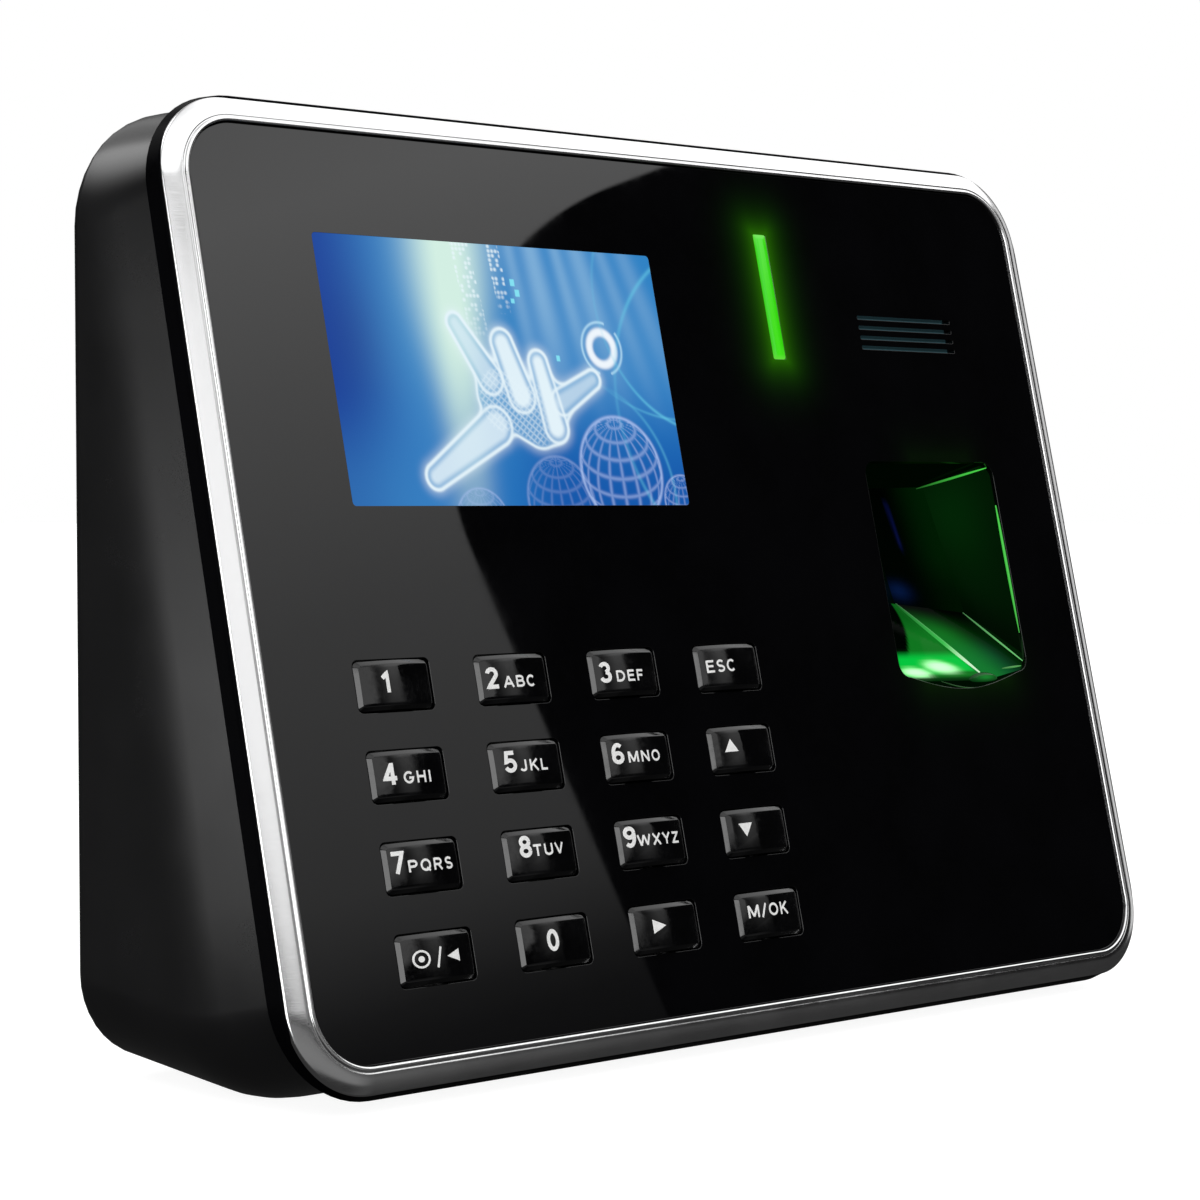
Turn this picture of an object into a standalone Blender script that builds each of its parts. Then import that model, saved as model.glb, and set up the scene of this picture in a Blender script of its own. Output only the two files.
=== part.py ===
"""Wall terminal with a keypad, a colour display and a fingerprint reader.

The tub-shaped rear housing hangs on a steel wall plate. Its front leans back: a gloss panel in a metal
trim ring, carried by a thin front housing. Lengths below are millimetres, the back face is the plane
Y = 0, and +Z is up. "Panel frame" means x across the panel, y up its slope and z out of its face.
"""

import math

import bmesh
import bpy
import numpy as np
from mathutils import Matrix, Vector

MM = 0.001

# Front panel and its slope
TILT_DEG = 13.45
PANEL_Y, PANEL_Z = -34.59, 1.6
PANEL_W, PANEL_H, PANEL_R = 172.4, 128.7, 8.4
PANEL_T = 1.5

# Trim ring: distances out from the panel's edge line, heights above its face
RING_IN_W, RING_IN_H, RING_IN_R = 172.7, 129.0, 8.6
RING_PROFILE = [(0.0, -1.55), (0.0, 0.28), (0.12, 0.4), (0.5, 0.4), (0.72, 0.18), (1.0, 0.08),
                (2.0, -0.12), (3.0, -0.45), (3.55, -0.78), (3.82, -1.12), (3.85, -1.55)]

# Front housing lip and rear housing sections
LIP_HALF_W, LIP_TOP, LIP_BOTTOM, LIP_DEPTH, LIP_R = 91.0, 69.17, -68.86, 3.47, 14.4
START_INSET, START_DEPTH = 1.2, 3.8
CREASE_HALF_W, CREASE_R_TOP, CREASE_R_BOTTOM = 90.8, 16.9, 12.4
CREASE_LOW, CREASE_HIGH = (-30.76, -68.06), (-2.9, 67.2)
REAR_HALF_TOP, REAR_HALF_BOTTOM, REAR_TOP, REAR_BOTTOM = 90.75, 90.15, 66.5, -65.5
REAR_R_TOP, REAR_R_BOTTOM = 15.9, 12.5
CREASE_SOFT, REAR_SOFT = 5.0, 2.2
WALL, BACK_WALL = 2.2, 3.4
CORNER_STEPS = 7

# Display
SCREEN = (-66.6, -1.1, 10.7, 49.5)
# Keypad: centre of the first key, pitch, size
KEY_FIRST, KEY_PITCH, KEY_SIZE = (-64.3, -14.28), (21.81, 12.41), (13.2, 6.8)
KEY_RISE, KEY_TRAVEL, KEY_GAP = 0.92, 0.8, 0.25
# Light bar, speaker slots, reader opening: left, right, bottom, top in the panel frame
LIGHT = (23.3, 26.1, 34.1, 54.4)
SLOTS = dict(left=44.8, right=67.9, first=36.7, pitch=1.66, count=4, width=0.62)
READER = (40.2, 72.1, -17.4, 17.8)
READER_R = 2.4

# Inner heights in the panel frame
PLATE_TOP, PLATE_BOTTOM = -1.75, -3.7
MAT_TOP, MAT_BOTTOM, DOME_TOP = -6.6, -7.4, -5.8
KEY_BOARD_T = 1.5

# Back: wall plate, connector bay, boards
STEEL_T = 1.35
PLATE_BOX = (-70.0, 70.0, -58.0, 50.0)
BAY = (-38.0, 38.0, -47.0, -23.0)
BAY_DEPTH, BAY_WALL = 16.0, 1.8
BOARD_REAR, BOARD_T = -20.0, 1.6
MAIN_BOARD = (-72.0, 34.0, -54.0, 8.0)
SCREW_XZ = [(-80.0, 48.0), (80.0, 48.0), (-80.0, -50.0), (80.0, -50.0)]
STANDOFF_XZ = [(-66.0, 2.0), (28.0, 2.0), (-48.0, -51.0), (28.0, -51.0)]

PANEL = Matrix.Translation((0, PANEL_Y * MM, PANEL_Z * MM)) @ Matrix.Rotation(
    math.radians(90 - TILT_DEG), 4, "X")
WORLD = Matrix.Identity(4)

for old in list(bpy.data.objects):
    bpy.data.objects.remove(old)

model = bpy.data.collections.new("fingerprint_terminal")
helpers = bpy.data.collections.new("cutters")
for group in (model, helpers):
    bpy.context.scene.collection.children.link(group)
helpers.hide_render = True


# ---------------------------------------------------------------- helpers

def material(name, colour, roughness=0.5, metallic=0.0, **more):
    made = bpy.data.materials.new(name)
    made.use_nodes = True
    shader = made.node_tree.nodes["Principled BSDF"]
    shader.inputs["Base Color"].default_value = (*colour, 1)
    shader.inputs["Roughness"].default_value = roughness
    shader.inputs["Metallic"].default_value = metallic
    for key, value in more.items():
        shader.inputs[key.replace("_", " ")].default_value = value
    made.diffuse_color = (*colour, 1)
    return made


def outline(left, right, low, high, r_low, r_high=None, steps=CORNER_STEPS):
    """Rounded rectangle as points in order, with its own radius for the low and the high corners."""
    r_high = r_low if r_high is None else r_high
    corners = [(right - r_high, high - r_high, 0, r_high), (left + r_high, high - r_high, 90, r_high),
               (left + r_low, low + r_low, 180, r_low), (right - r_low, low + r_low, 270, r_low)]
    points = []
    for x, y, start, r in corners:
        turn = np.radians(start + 90 * np.arange(steps + 1) / steps)
        points += list(zip(x + r * np.cos(turn), y + r * np.sin(turn)))
    return np.array(points)


def flat(points, height):
    return np.column_stack([points, np.full(len(points), height)])


def place(mesh_builder, name, frame, made_of):
    """Turn a bmesh in millimetres into an object of the model, or into a helper if it has no material."""
    bmesh.ops.recalc_face_normals(mesh_builder, faces=mesh_builder.faces)
    mesh = bpy.data.meshes.new(name)
    mesh_builder.to_mesh(mesh)
    mesh_builder.free()
    mesh.transform(Matrix.Scale(MM, 4))
    obj = bpy.data.objects.new(name, mesh)
    obj.matrix_world = frame
    if made_of is None:
        helpers.objects.link(obj)
        obj.hide_render = True
        obj.display_type = "WIRE"
    else:
        model.objects.link(obj)
        mesh.materials.append(made_of)
    return obj


def add_loft(work, rings, around=False):
    """Skin a run of sections with equal point counts, then cap its ends or join the last to the first."""
    rows = [[work.verts.new(p) for p in ring] for ring in rings]
    for low, high in zip(rows, rows[1:] + rows[:1] if around else rows[1:]):
        for i in range(len(low)):
            j = (i + 1) % len(low)
            work.faces.new((low[i], low[j], high[j], high[i]))
    if not around:
        work.faces.new(rows[0][::-1])
        work.faces.new(rows[-1])


def loft(name, rings, frame, made_of=None):
    work = bmesh.new()
    add_loft(work, rings)
    return place(work, name, frame, made_of)


def add_prism(work, points, low, high):
    """Extrude a flat outline from one height to another."""
    base = work.faces.new([work.verts.new(p) for p in flat(np.asarray(points), low)])
    grown = bmesh.ops.extrude_face_region(work, geom=[base])["geom"]
    tops = [v for v in grown if isinstance(v, bmesh.types.BMVert)]
    bmesh.ops.translate(work, verts=tops, vec=(0, 0, high - low))


def prism(name, points, low, high, frame, made_of=None):
    work = bmesh.new()
    add_prism(work, points, low, high)
    return place(work, name, frame, made_of)


def add_box(work, low, high):
    size, middle = Vector(high) - Vector(low), (Vector(high) + Vector(low)) / 2
    bmesh.ops.create_cube(work, size=1, matrix=Matrix.Translation(middle) @ Matrix.Diagonal((*size, 1)))


def box(name, low, high, frame=WORLD, made_of=None, bevel=0.0):
    work = bmesh.new()
    add_box(work, low, high)
    obj = place(work, name, frame, made_of)
    if bevel:
        soften(obj, bevel)
    return obj


def add_rod(work, start, end, radius, sides=20, end_radius=None):
    """Cylinder or cone between two points."""
    start, end = Vector(start), Vector(end)
    turn = (end - start).to_track_quat("Z", "Y").to_matrix().to_4x4()
    bmesh.ops.create_cone(work, cap_ends=True, segments=sides, radius1=radius,
                          radius2=radius if end_radius is None else end_radius,
                          depth=(end - start).length, matrix=Matrix.Translation((start + end) / 2) @ turn)


def rod(name, start, end, radius, frame=WORLD, made_of=None, sides=20):
    work = bmesh.new()
    add_rod(work, start, end, radius, sides)
    return place(work, name, frame, made_of)


def boolean(obj, other, operation="DIFFERENCE"):
    step = obj.modifiers.new(other.name, "BOOLEAN")
    step.operation, step.object, step.solver = operation, other, "EXACT"
    step.use_self = True
    return obj


def soften(obj, width, segments=2):
    step = obj.modifiers.new("soft_edges", "BEVEL")
    step.width, step.segments, step.limit_method = width * MM, segments, "ANGLE"
    step.angle_limit = math.radians(40)


def panel_y_at(z, depth=0.0):
    """World Y of the panel frame's plane at this depth below the face, at world height z."""
    tilt = math.radians(TILT_DEG)
    return PANEL_Y + (z - PANEL_Z) * math.tan(tilt) + depth / math.cos(tilt)


def key_centres():
    for row in range(4):
        for column in range(4):
            yield (KEY_FIRST[0] + column * KEY_PITCH[0], KEY_FIRST[1] - row * KEY_PITCH[1])


# ---------------------------------------------------------------- materials

black_shell = material("black_shell", (0.013, 0.013, 0.014), 0.42)
black_gloss = material("black_gloss", (0.004, 0.004, 0.005), 0.08)
trim_metal = material("trim_metal", (0.72, 0.72, 0.73), 0.22, 1.0)
panel_gloss = material("panel_gloss", (0.004, 0.004, 0.006), 0.04)
window_clear = material("window_clear", (0.9, 0.92, 0.95), 0.03, Transmission_Weight=0.9)
screen_lit = material("screen_lit", (0.02, 0.16, 0.5), 0.2)
holder_grey = material("holder_grey", (0.5, 0.5, 0.5), 0.4, 0.6)
key_plastic = material("key_plastic", (0.008, 0.008, 0.009), 0.12)
mat_silicone = material("mat_silicone", (0.25, 0.25, 0.26), 0.6)
board_green = material("board_green", (0.01, 0.12, 0.05), 0.4)
light_green = material("light_green", (0.05, 0.8, 0.02), 0.3)
speaker_dark = material("speaker_dark", (0.02, 0.02, 0.02), 0.5)
foam = material("foam", (0.03, 0.03, 0.03), 0.9)
reader_black = material("reader_black", (0.006, 0.01, 0.008), 0.15)
prism_glass = material("prism_glass", (0.5, 0.9, 0.6), 0.02, Transmission_Weight=0.9)
carrier_black = material("carrier_black", (0.02, 0.02, 0.02), 0.5)
socket_metal = material("socket_metal", (0.6, 0.6, 0.62), 0.3, 1.0)
socket_black = material("socket_black", (0.015, 0.015, 0.015), 0.4)
terminal_green = material("terminal_green", (0.02, 0.25, 0.1), 0.45)
battery_wrap = material("battery_wrap", (0.05, 0.12, 0.35), 0.4)
button_red = material("button_red", (0.5, 0.03, 0.02), 0.4)
plate_steel = material("plate_steel", (0.45, 0.46, 0.47), 0.35, 1.0)
screw_steel = material("screw_steel", (0.55, 0.55, 0.56), 0.3, 1.0)


# ---------------------------------------------------------------- rear housing

def tub_sections(inset, front_extra, rear_y, soft):
    """Outer or inner skin of the tub: front edge, soft crease, and the smaller upright back outline."""
    edge = START_INSET + inset
    start = outline(-LIP_HALF_W + edge, LIP_HALF_W - edge, LIP_BOTTOM + edge, LIP_TOP - edge,
                    LIP_R - edge)
    to_world = np.array(PANEL.to_3x3())
    middle = np.array([0, PANEL_Y, PANEL_Z])
    start = flat(start, front_extra - START_DEPTH) @ to_world.T + middle

    low, high = CREASE_LOW[1] + inset, CREASE_HIGH[1] - inset
    crease = outline(-CREASE_HALF_W + inset, CREASE_HALF_W - inset, low, high,
                     CREASE_R_BOTTOM - inset, CREASE_R_TOP - inset)
    rise = (crease[:, 1] - CREASE_LOW[1]) / (CREASE_HIGH[1] - CREASE_LOW[1])
    depth = CREASE_LOW[0] + (CREASE_HIGH[0] - CREASE_LOW[0]) * rise
    crease = np.column_stack([crease[:, 0], np.minimum(depth, rear_y - 1.2), crease[:, 1]])

    low, high = REAR_BOTTOM + inset, REAR_TOP - inset
    rear = outline(-REAR_HALF_BOTTOM + inset, REAR_HALF_BOTTOM - inset, low, high,
                   REAR_R_BOTTOM - inset, REAR_R_TOP - inset)
    rise = (rear[:, 1] - low) / (high - low)
    rear[:, 0] *= 1 + rise * (REAR_HALF_TOP / REAR_HALF_BOTTOM - 1)
    rear = np.column_stack([rear[:, 0], np.full(len(rear), rear_y), rear[:, 1]])
    centre = np.array([0, rear_y, (low + high) / 2])
    back = rear + (centre - rear) * [REAR_SOFT / REAR_HALF_TOP, 0, REAR_SOFT / high]

    def toward(a, b, length):
        reach = np.linalg.norm(b - a, axis=1, keepdims=True)
        return a + (b - a) * np.minimum(length / np.maximum(reach, 1e-9), 0.42)

    def bend(a, b, c, count):
        steps = np.linspace(0, 1, count)
        return [a * (1 - t) ** 2 + 2 * b * t * (1 - t) + c * t ** 2 for t in steps]

    if not soft:
        return [start, crease, rear]
    return ([start] + bend(toward(crease, start, CREASE_SOFT), crease,
                           toward(crease, rear, CREASE_SOFT), 5)
            + bend(toward(rear, crease, REAR_SOFT), rear, back, 4))


def make_rear_housing():
    shell = loft("rear_housing", tub_sections(0, 0, 0, True), WORLD, black_shell)
    boolean(shell, loft("tub_hollow", tub_sections(WALL, 1.5, -BACK_WALL, False), WORLD))

    # Bay walls, screw towers, board standoffs and the lock boss stand inside the tub
    work = bmesh.new()
    x0, x1, z0, z1 = BAY
    add_box(work, (x0 - BAY_WALL, -BAY_DEPTH - BAY_WALL, z0 - BAY_WALL),
            (x1 + BAY_WALL, -1.8, z1 + BAY_WALL))
    boolean(shell, place(work, "bay_block", WORLD, None), "UNION")
    for i, (x, z) in enumerate(SCREW_XZ):
        tower = rod(f"screw_tower_{i + 1}", (x, -1.5, z), (x, panel_y_at(z, 3.7) + 5.0, z), 4.6)
        boolean(shell, tower, "UNION")
    for i, (x, z) in enumerate(STANDOFF_XZ):
        boolean(shell, rod(f"standoff_{i + 1}", (x, -2.0, z), (x, BOARD_REAR + 0.2, z), 3.0), "UNION")
    boolean(shell, rod("lock_boss", (0, -5.2, -66.0), (0, -5.2, -59.2), 4.2), "UNION")

    # Openings through the bay floor, the back and the bottom
    work = bmesh.new()
    add_box(work, (x0, -BAY_DEPTH, z0), (x1, 2, z1))
    boolean(shell, place(work, "bay_space", WORLD, None))
    work = bmesh.new()
    for left, right, low, high in ((-30.4, -13.6, -43.4, -28.6), (-8.4, 1.4, -41.4, -29.6),
                                   (7.6, 30.4, -40.9, -29.1)):
        add_box(work, (left, -BAY_DEPTH - 2.6, low), (right, -BAY_DEPTH + 1, high))
    add_rod(work, (35.0, -BAY_DEPTH - 2.6, -27.0), (35.0, -BAY_DEPTH + 1, -27.0), 2.1)
    boolean(shell, place(work, "bay_floor_holes", WORLD, None))
    px0, px1, pz0, pz1 = PLATE_BOX
    work = bmesh.new()
    add_box(work, (px0 - 0.3, -STEEL_T - 0.3, pz0 - 0.3), (px1 + 0.3, 2, pz1 + 0.3))
    boolean(shell, place(work, "plate_recess", WORLD, None))
    work = bmesh.new()
    for side in (-1, 1):
        add_box(work, (side * 45 - 7, -BACK_WALL - 2, 40.0), (side * 45 + 7, 0, 46.5))
    add_box(work, (-9, -12, -58.4), (9, 0, -56.2))
    boolean(shell, place(work, "hook_slots", WORLD, None))
    work = bmesh.new()
    for x, z in SCREW_XZ:
        end = panel_y_at(z, 3.7) + 5.0
        add_rod(work, (x, 2, z), (x, end + 2.4, z), 3.3)
    boolean(shell, place(work, "tower_bores", WORLD, None))
    work = bmesh.new()
    for x, z in SCREW_XZ:
        end = panel_y_at(z, 3.7) + 5.0
        add_rod(work, (x, end + 3.4, z), (x, end - 1, z), 1.8)
    for x, z in STANDOFF_XZ:
        add_rod(work, (x, BOARD_REAR - 1, z), (x, BOARD_REAR + 8, z), 1.35)
    add_rod(work, (56, -6, -40), (56, 2, -40), 2.8)
    boolean(shell, place(work, "small_bores", WORLD, None))
    work = bmesh.new()
    add_rod(work, (0, -5.2, -70), (0, -5.2, -58), 1.8)
    boolean(shell, place(work, "lock_bore", WORLD, None))
    boolean(shell, rod("lock_sink", (0, -5.2, -70), (0, -5.2, -63.2), 3.3))
    work = bmesh.new()
    add_box(work, (-74.2, -19.4, -75), (-59.8, -12.4, -58))
    boolean(shell, place(work, "usb_opening", WORLD, None))
    return shell


# ---------------------------------------------------------------- front housing, ring, panel

def screen_outline(grow, radius=0.6):
    left, right, low, high = SCREEN
    return outline(left - grow, right + grow, low - grow, high + grow, radius, steps=3)


def reader_outline(grow):
    """Reader opening: a rounded rectangle whose lower edge bulges gently downward."""
    left, right, low, high = READER
    points = outline(left - grow, right + grow, low - grow, high + grow, READER_R + grow, steps=4)
    lower = np.linspace(left + 5, right - 5, 9)
    bulge = 2.3 * np.sin(np.linspace(0, np.pi, 9))
    return np.vstack([points[:15], np.column_stack([lower, low - grow - bulge]), points[15:]])


def panel_cutters(name, grow, low, high):
    work = bmesh.new()
    add_prism(work, screen_outline(grow), low, high)
    add_prism(work, reader_outline(grow), low, high)
    left, right, bottom, top = LIGHT
    add_prism(work, outline(left - grow, right + grow, bottom - grow, top + grow, 0.3, steps=2), low, high)
    for x, y in key_centres():
        w, h = KEY_SIZE[0] / 2 + KEY_GAP + grow, KEY_SIZE[1] / 2 + KEY_GAP + grow
        add_prism(work, outline(x - w, x + w, y - h, y + h, 0.9, steps=3), low, high)
    return work


def make_front_housing():
    lip = [(LIP_HALF_W - 0.95, LIP_TOP - 0.95, LIP_BOTTOM + 0.95, 13.0, PLATE_TOP),
           (LIP_HALF_W, LIP_TOP, LIP_BOTTOM, LIP_R, -LIP_DEPTH),
           (LIP_HALF_W - 0.25, LIP_TOP - 0.25, LIP_BOTTOM + 0.25, LIP_R, PLATE_BOTTOM)]
    rings = [flat(outline(-w, w, b, t, r), h) for w, t, b, r, h in lip]
    plate = loft("front_housing", rings, PANEL, black_gloss)
    # Posts for the housing screws lie along world Y
    for i, (x, z) in enumerate(SCREW_XZ):
        end = panel_y_at(z, 3.7) + 4.7
        post = rod(f"screw_post_{i + 1}", (x, panel_y_at(z, 3.0), z), (x, end, z), 3.6)
        boolean(plate, post, "UNION")
    work = panel_cutters("housing_openings", 0.3, PLATE_BOTTOM - 1, PLATE_TOP + 1)
    s = SLOTS
    add_prism(work, outline(s["left"] - 0.5, s["right"] + 0.5, s["first"] - 1.0,
                            s["first"] + s["pitch"] * (s["count"] - 1) + 1.0, 0.8, steps=3),
              PLATE_BOTTOM - 1, PLATE_TOP + 1)
    boolean(plate, place(work, "housing_openings", PANEL, None))
    work = bmesh.new()
    for x, z in SCREW_XZ:
        end = panel_y_at(z, 3.7) + 4.7
        add_rod(work, (x, end - 5.2, z), (x, end + 1, z), 1.7)
    boolean(plate, place(work, "post_bores", WORLD, None))
    return plate


def make_trim_ring():
    """A closed profile carried round the panel's edge."""
    w, h = RING_IN_W / 2, RING_IN_H / 2
    rings = [flat(outline(-w - d, w + d, -h - d, h + d, RING_IN_R + d, steps=10), z)
             for d, z in RING_PROFILE]
    work = bmesh.new()
    add_loft(work, rings, True)
    return place(work, "trim_ring", PANEL, trim_metal)


def make_front_panel():
    w, h = PANEL_W / 2, PANEL_H / 2
    sheet = prism("front_panel", outline(-w, w, -h, h, PANEL_R), -PANEL_T, 0, PANEL, panel_gloss)
    work = panel_cutters("panel_openings", 0.0, -PANEL_T - 1, 1)
    s = SLOTS
    for i in range(s["count"]):
        y = s["first"] + i * s["pitch"]
        add_prism(work, outline(s["left"], s["right"], y - s["width"] / 2, y + s["width"] / 2,
                                0.25, steps=2), -PANEL_T - 1, 1)
    boolean(sheet, place(work, "panel_openings", PANEL, None))
    return sheet


# ---------------------------------------------------------------- display, light bar, speaker

def make_display():
    prism("display_window", screen_outline(-0.15), -PANEL_T, 0, PANEL, window_clear)
    prism("display_cell", screen_outline(-0.05), -3.6, PLATE_TOP - 0.05, PANEL, screen_lit)
    left, right, low, high = SCREEN
    box("display_holder", (left - 2.6, low - 2.4, -7.2), (right + 2.6, high + 2.4, -3.95), PANEL,
        holder_grey, 0.4)


def make_light_bar():
    left, right, low, high = LIGHT
    work = bmesh.new()
    add_prism(work, outline(left + 0.15, right - 0.15, low + 0.15, high - 0.15, 0.25, steps=2), -5.6, 0)
    place(work, "light_bar", PANEL, light_green)
    box("light_board", (left - 3, low - 2, -7.4), (right + 3, high + 2, -5.9), PANEL, board_green)


def make_speaker():
    s = SLOTS
    x = (s["left"] + s["right"]) / 2
    y = s["first"] + s["pitch"] * (s["count"] - 1) / 2
    ring = rod("speaker_gasket", (x, y, -4.9), (x, y, -3.95), 14.4, PANEL, foam, 32)
    boolean(ring, rod("gasket_hole", (x, y, -6), (x, y, -3), 12.6, PANEL, None, 32))
    work = bmesh.new()
    add_rod(work, (x, y, -7.2), (x, y, -5.2), 14.2, 32)
    can = place(work, "speaker", PANEL, speaker_dark)
    boolean(can, rod("speaker_magnet", (x, y, -10.0), (x, y, -6.8), 8.0, PANEL, None, 24), "UNION")
    dish = rod("speaker_dish", (x, y, -6.0), (x, y, -4.0), 12.0, PANEL, None, 32)
    boolean(can, dish)


# ---------------------------------------------------------------- keypad

def make_keys():
    """Sixteen caps with softened tops, each with its origin on its own line of travel."""
    for number, (x, y) in enumerate(key_centres(), 1):
        w, h = KEY_SIZE[0] / 2, KEY_SIZE[1] / 2
        steps = [(1.0, -4.8), (1.0, -4.05), (0.0, -4.05), (0.0, KEY_RISE - 0.42), (-0.12, KEY_RISE - 0.14),
                 (-0.4, KEY_RISE)]
        rings = [flat(outline(-w - g, w + g, -h - g, h + g, 0.75 + max(g, -0.3), steps=3), z)
                 for g, z in steps]
        frame = PANEL @ Matrix.Translation((x * MM, y * MM, 0))
        loft(f"key_{number:02d}", rings, frame, key_plastic)


def keypad_area(grow):
    x0, y0 = KEY_FIRST
    x1, y1 = x0 + 3 * KEY_PITCH[0], y0 - 3 * KEY_PITCH[1]
    return outline(x0 - 9.5 - grow, x1 + 9.5 + grow, y1 - 6.2 - grow, y0 + 6.2 + grow, 1.5, steps=2)


def make_keypad_layers():
    mat = prism("key_mat", keypad_area(0), MAT_BOTTOM, MAT_TOP, PANEL, mat_silicone)
    work = bmesh.new()
    for x, y in key_centres():
        add_rod(work, (x, y, MAT_TOP - 0.4), (x, y, DOME_TOP), 3.4, 12, 2.4)
    boolean(mat, place(work, "mat_domes", PANEL, None), "UNION")
    prism("key_board", keypad_area(0.8), MAT_BOTTOM - 0.25 - KEY_BOARD_T, MAT_BOTTOM - 0.25, PANEL,
          board_green)


# ---------------------------------------------------------------- fingerprint reader

def make_reader():
    """Tapering well, glass prism, side light, carrier and board, one behind another."""
    left, right, low, high = READER
    mx, my = (left + right) / 2, (low + high) / 2
    well = prism("reader_well", reader_outline(-0.2), -9.4, -0.25, PANEL, reader_black)
    mouth, throat = reader_outline(-0.9), outline(mx - 9.6, mx + 9.6, my - 12.0, my + 12.0, 1.2, steps=4)
    lower = np.linspace(mx - 8.0, mx + 8.0, 9)
    throat = np.vstack([throat[:15], np.column_stack([lower, np.full(9, my - 12.0)]), throat[15:]])
    rings = [flat(mouth, 1.0), flat(mouth, -0.8), flat(throat, -8.0), flat(throat, -11)]
    boolean(well, loft("well_hollow", rings, PANEL))

    # Prism: glass block whose finger face slopes down towards the lower edge
    work = bmesh.new()
    add_box(work, (mx - 9.2, my - 11.6, -17.0), (mx + 9.2, my + 11.6, -5.4))
    glass = place(work, "reader_prism", PANEL, prism_glass)
    work = bmesh.new()
    add_box(work, (mx - 14, -20, 0), (mx + 14, 20, 8))
    slope = Matrix.Translation((0, (my + 11.6) * MM, -5.6 * MM)) @ Matrix.Rotation(math.radians(8), 4, "X")
    boolean(glass, place(work, "prism_slope", PANEL @ slope, None))
    box("reader_light", (mx - 9.0, my - 16.0, -13.0), (mx + 9.0, my - 12.2, -9.9), PANEL, light_green)
    carrier = box("reader_carrier", (mx - 13, my - 15.8, -21.0), (mx + 13, my + 15.8, -9.7), PANEL,
                  carrier_black)
    work = bmesh.new()
    add_box(work, (mx - 9.5, my - 11.9, -17.3), (mx + 9.5, my + 11.9, -8))
    add_box(work, (mx - 9.4, my - 18, -13.4), (mx + 9.4, my - 11, -8))
    boolean(carrier, place(work, "carrier_pocket", PANEL, None))
    box("reader_board", (mx - 14, my - 17, -22.8), (mx + 14, my + 17, -21.3), PANEL, board_green)


# ---------------------------------------------------------------- boards and sockets

def make_electronics():
    x0, x1, z0, z1 = MAIN_BOARD
    board = box("main_board", (x0, BOARD_REAR - BOARD_T, z0), (x1, BOARD_REAR, z1), WORLD, board_green)
    work = bmesh.new()
    for x, z in STANDOFF_XZ:
        add_rod(work, (x, BOARD_REAR - 4, z), (x, BOARD_REAR + 1, z), 1.5, 12)
    boolean(board, place(work, "board_holes", WORLD, None))
    for i, (x, z) in enumerate(STANDOFF_XZ, 1):
        work = bmesh.new()
        add_rod(work, (x, BOARD_REAR - BOARD_T - 1.5, z), (x, BOARD_REAR - BOARD_T - 0.2, z), 2.6, 16)
        screw = place(work, f"board_screw_{i}", WORLD, screw_steel)
        boolean(screw, rod(f"board_shank_{i}", (x, BOARD_REAR - BOARD_T - 1.0, z),
                           (x, BOARD_REAR + 6, z), 1.1, sides=12), "UNION")
    box("backup_battery", (-60, -15.5, -18), (-12, -9.5, 12), WORLD, battery_wrap, 1.2)

    network = box("network_socket", (-30, BOARD_REAR + 0.2, -43), (-14, -5.5, -29), WORLD, socket_metal)
    work = bmesh.new()
    add_box(work, (-28.2, -16.5, -39.2), (-15.8, -2, -30.6))
    add_box(work, (-25.0, -15.0, -41.6), (-19.0, -2, -36))
    boolean(network, place(work, "network_hole", WORLD, None))

    power = box("power_socket", (-8, BOARD_REAR + 0.2, -41), (1, -7.0, -30), WORLD, socket_black)
    boolean(power, rod("power_hole", (-3.5, -17.0, -35.5), (-3.5, -2, -35.5), 3.1, sides=24))
    boolean(power, rod("power_pin", (-3.5, -17.5, -35.5), (-3.5, -8.4, -35.5), 0.95, sides=12), "UNION")

    block = box("wire_terminal", (8, BOARD_REAR + 0.2, -40.5), (30, -8.5, -29.5), WORLD, terminal_green)
    work = bmesh.new()
    for i in range(4):
        add_box(work, (9.2 + i * 5.2, -16.5, -39.0), (13.2 + i * 5.2, -5, -34.8))
    boolean(block, place(work, "wire_holes", WORLD, None))

    usb = box("usb_socket", (-73.9, -19.1, -66.4), (-60.1, -12.7, -53.0), WORLD, socket_metal)
    work = bmesh.new()
    add_box(work, (-73.3, -18.5, -70), (-60.7, -13.3, -55.0))
    boolean(usb, place(work, "usb_hole", WORLD, None))
    work = bmesh.new()
    add_box(work, (-72.4, -16.0, -61.9), (-61.6, -14.2, -54.0))
    boolean(usb, place(work, "usb_tongue", WORLD, None), "UNION")
    box("usb_board", (-74.8, -19.8, -52.7), (-57, -8.0, -51.3), WORLD, board_green)


def make_tamper_and_reset():
    work = bmesh.new()
    add_rod(work, (56, -5.6, -40), (56, -1.85, -40), 2.5, 20)
    plunger = place(work, "tamper_plunger", WORLD, socket_black)
    flange = rod("plunger_flange", (56, -5.4, -40), (56, -3.9, -40), 3.4)
    boolean(plunger, flange, "UNION")
    box("tamper_switch", (51, -15.0, -44), (61, -7.2, -36), WORLD, carrier_black, 0.4)

    button = rod("reset_button", (35.0, -19.2, -27.0), (35.0, -14.6, -27.0), 1.8, WORLD, button_red)
    boolean(button, rod("reset_flange", (35.0, -18.9, -27.0), (35.0, -18.2, -27.0), 2.6), "UNION")
    for obj, point in ((plunger, (56, -1.85, -40)), (button, (35.0, -14.6, -27.0))):
        offset = Vector(point) * MM
        obj.data.transform(Matrix.Translation(-offset))
        obj.location = offset


# ---------------------------------------------------------------- wall plate and screws

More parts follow.
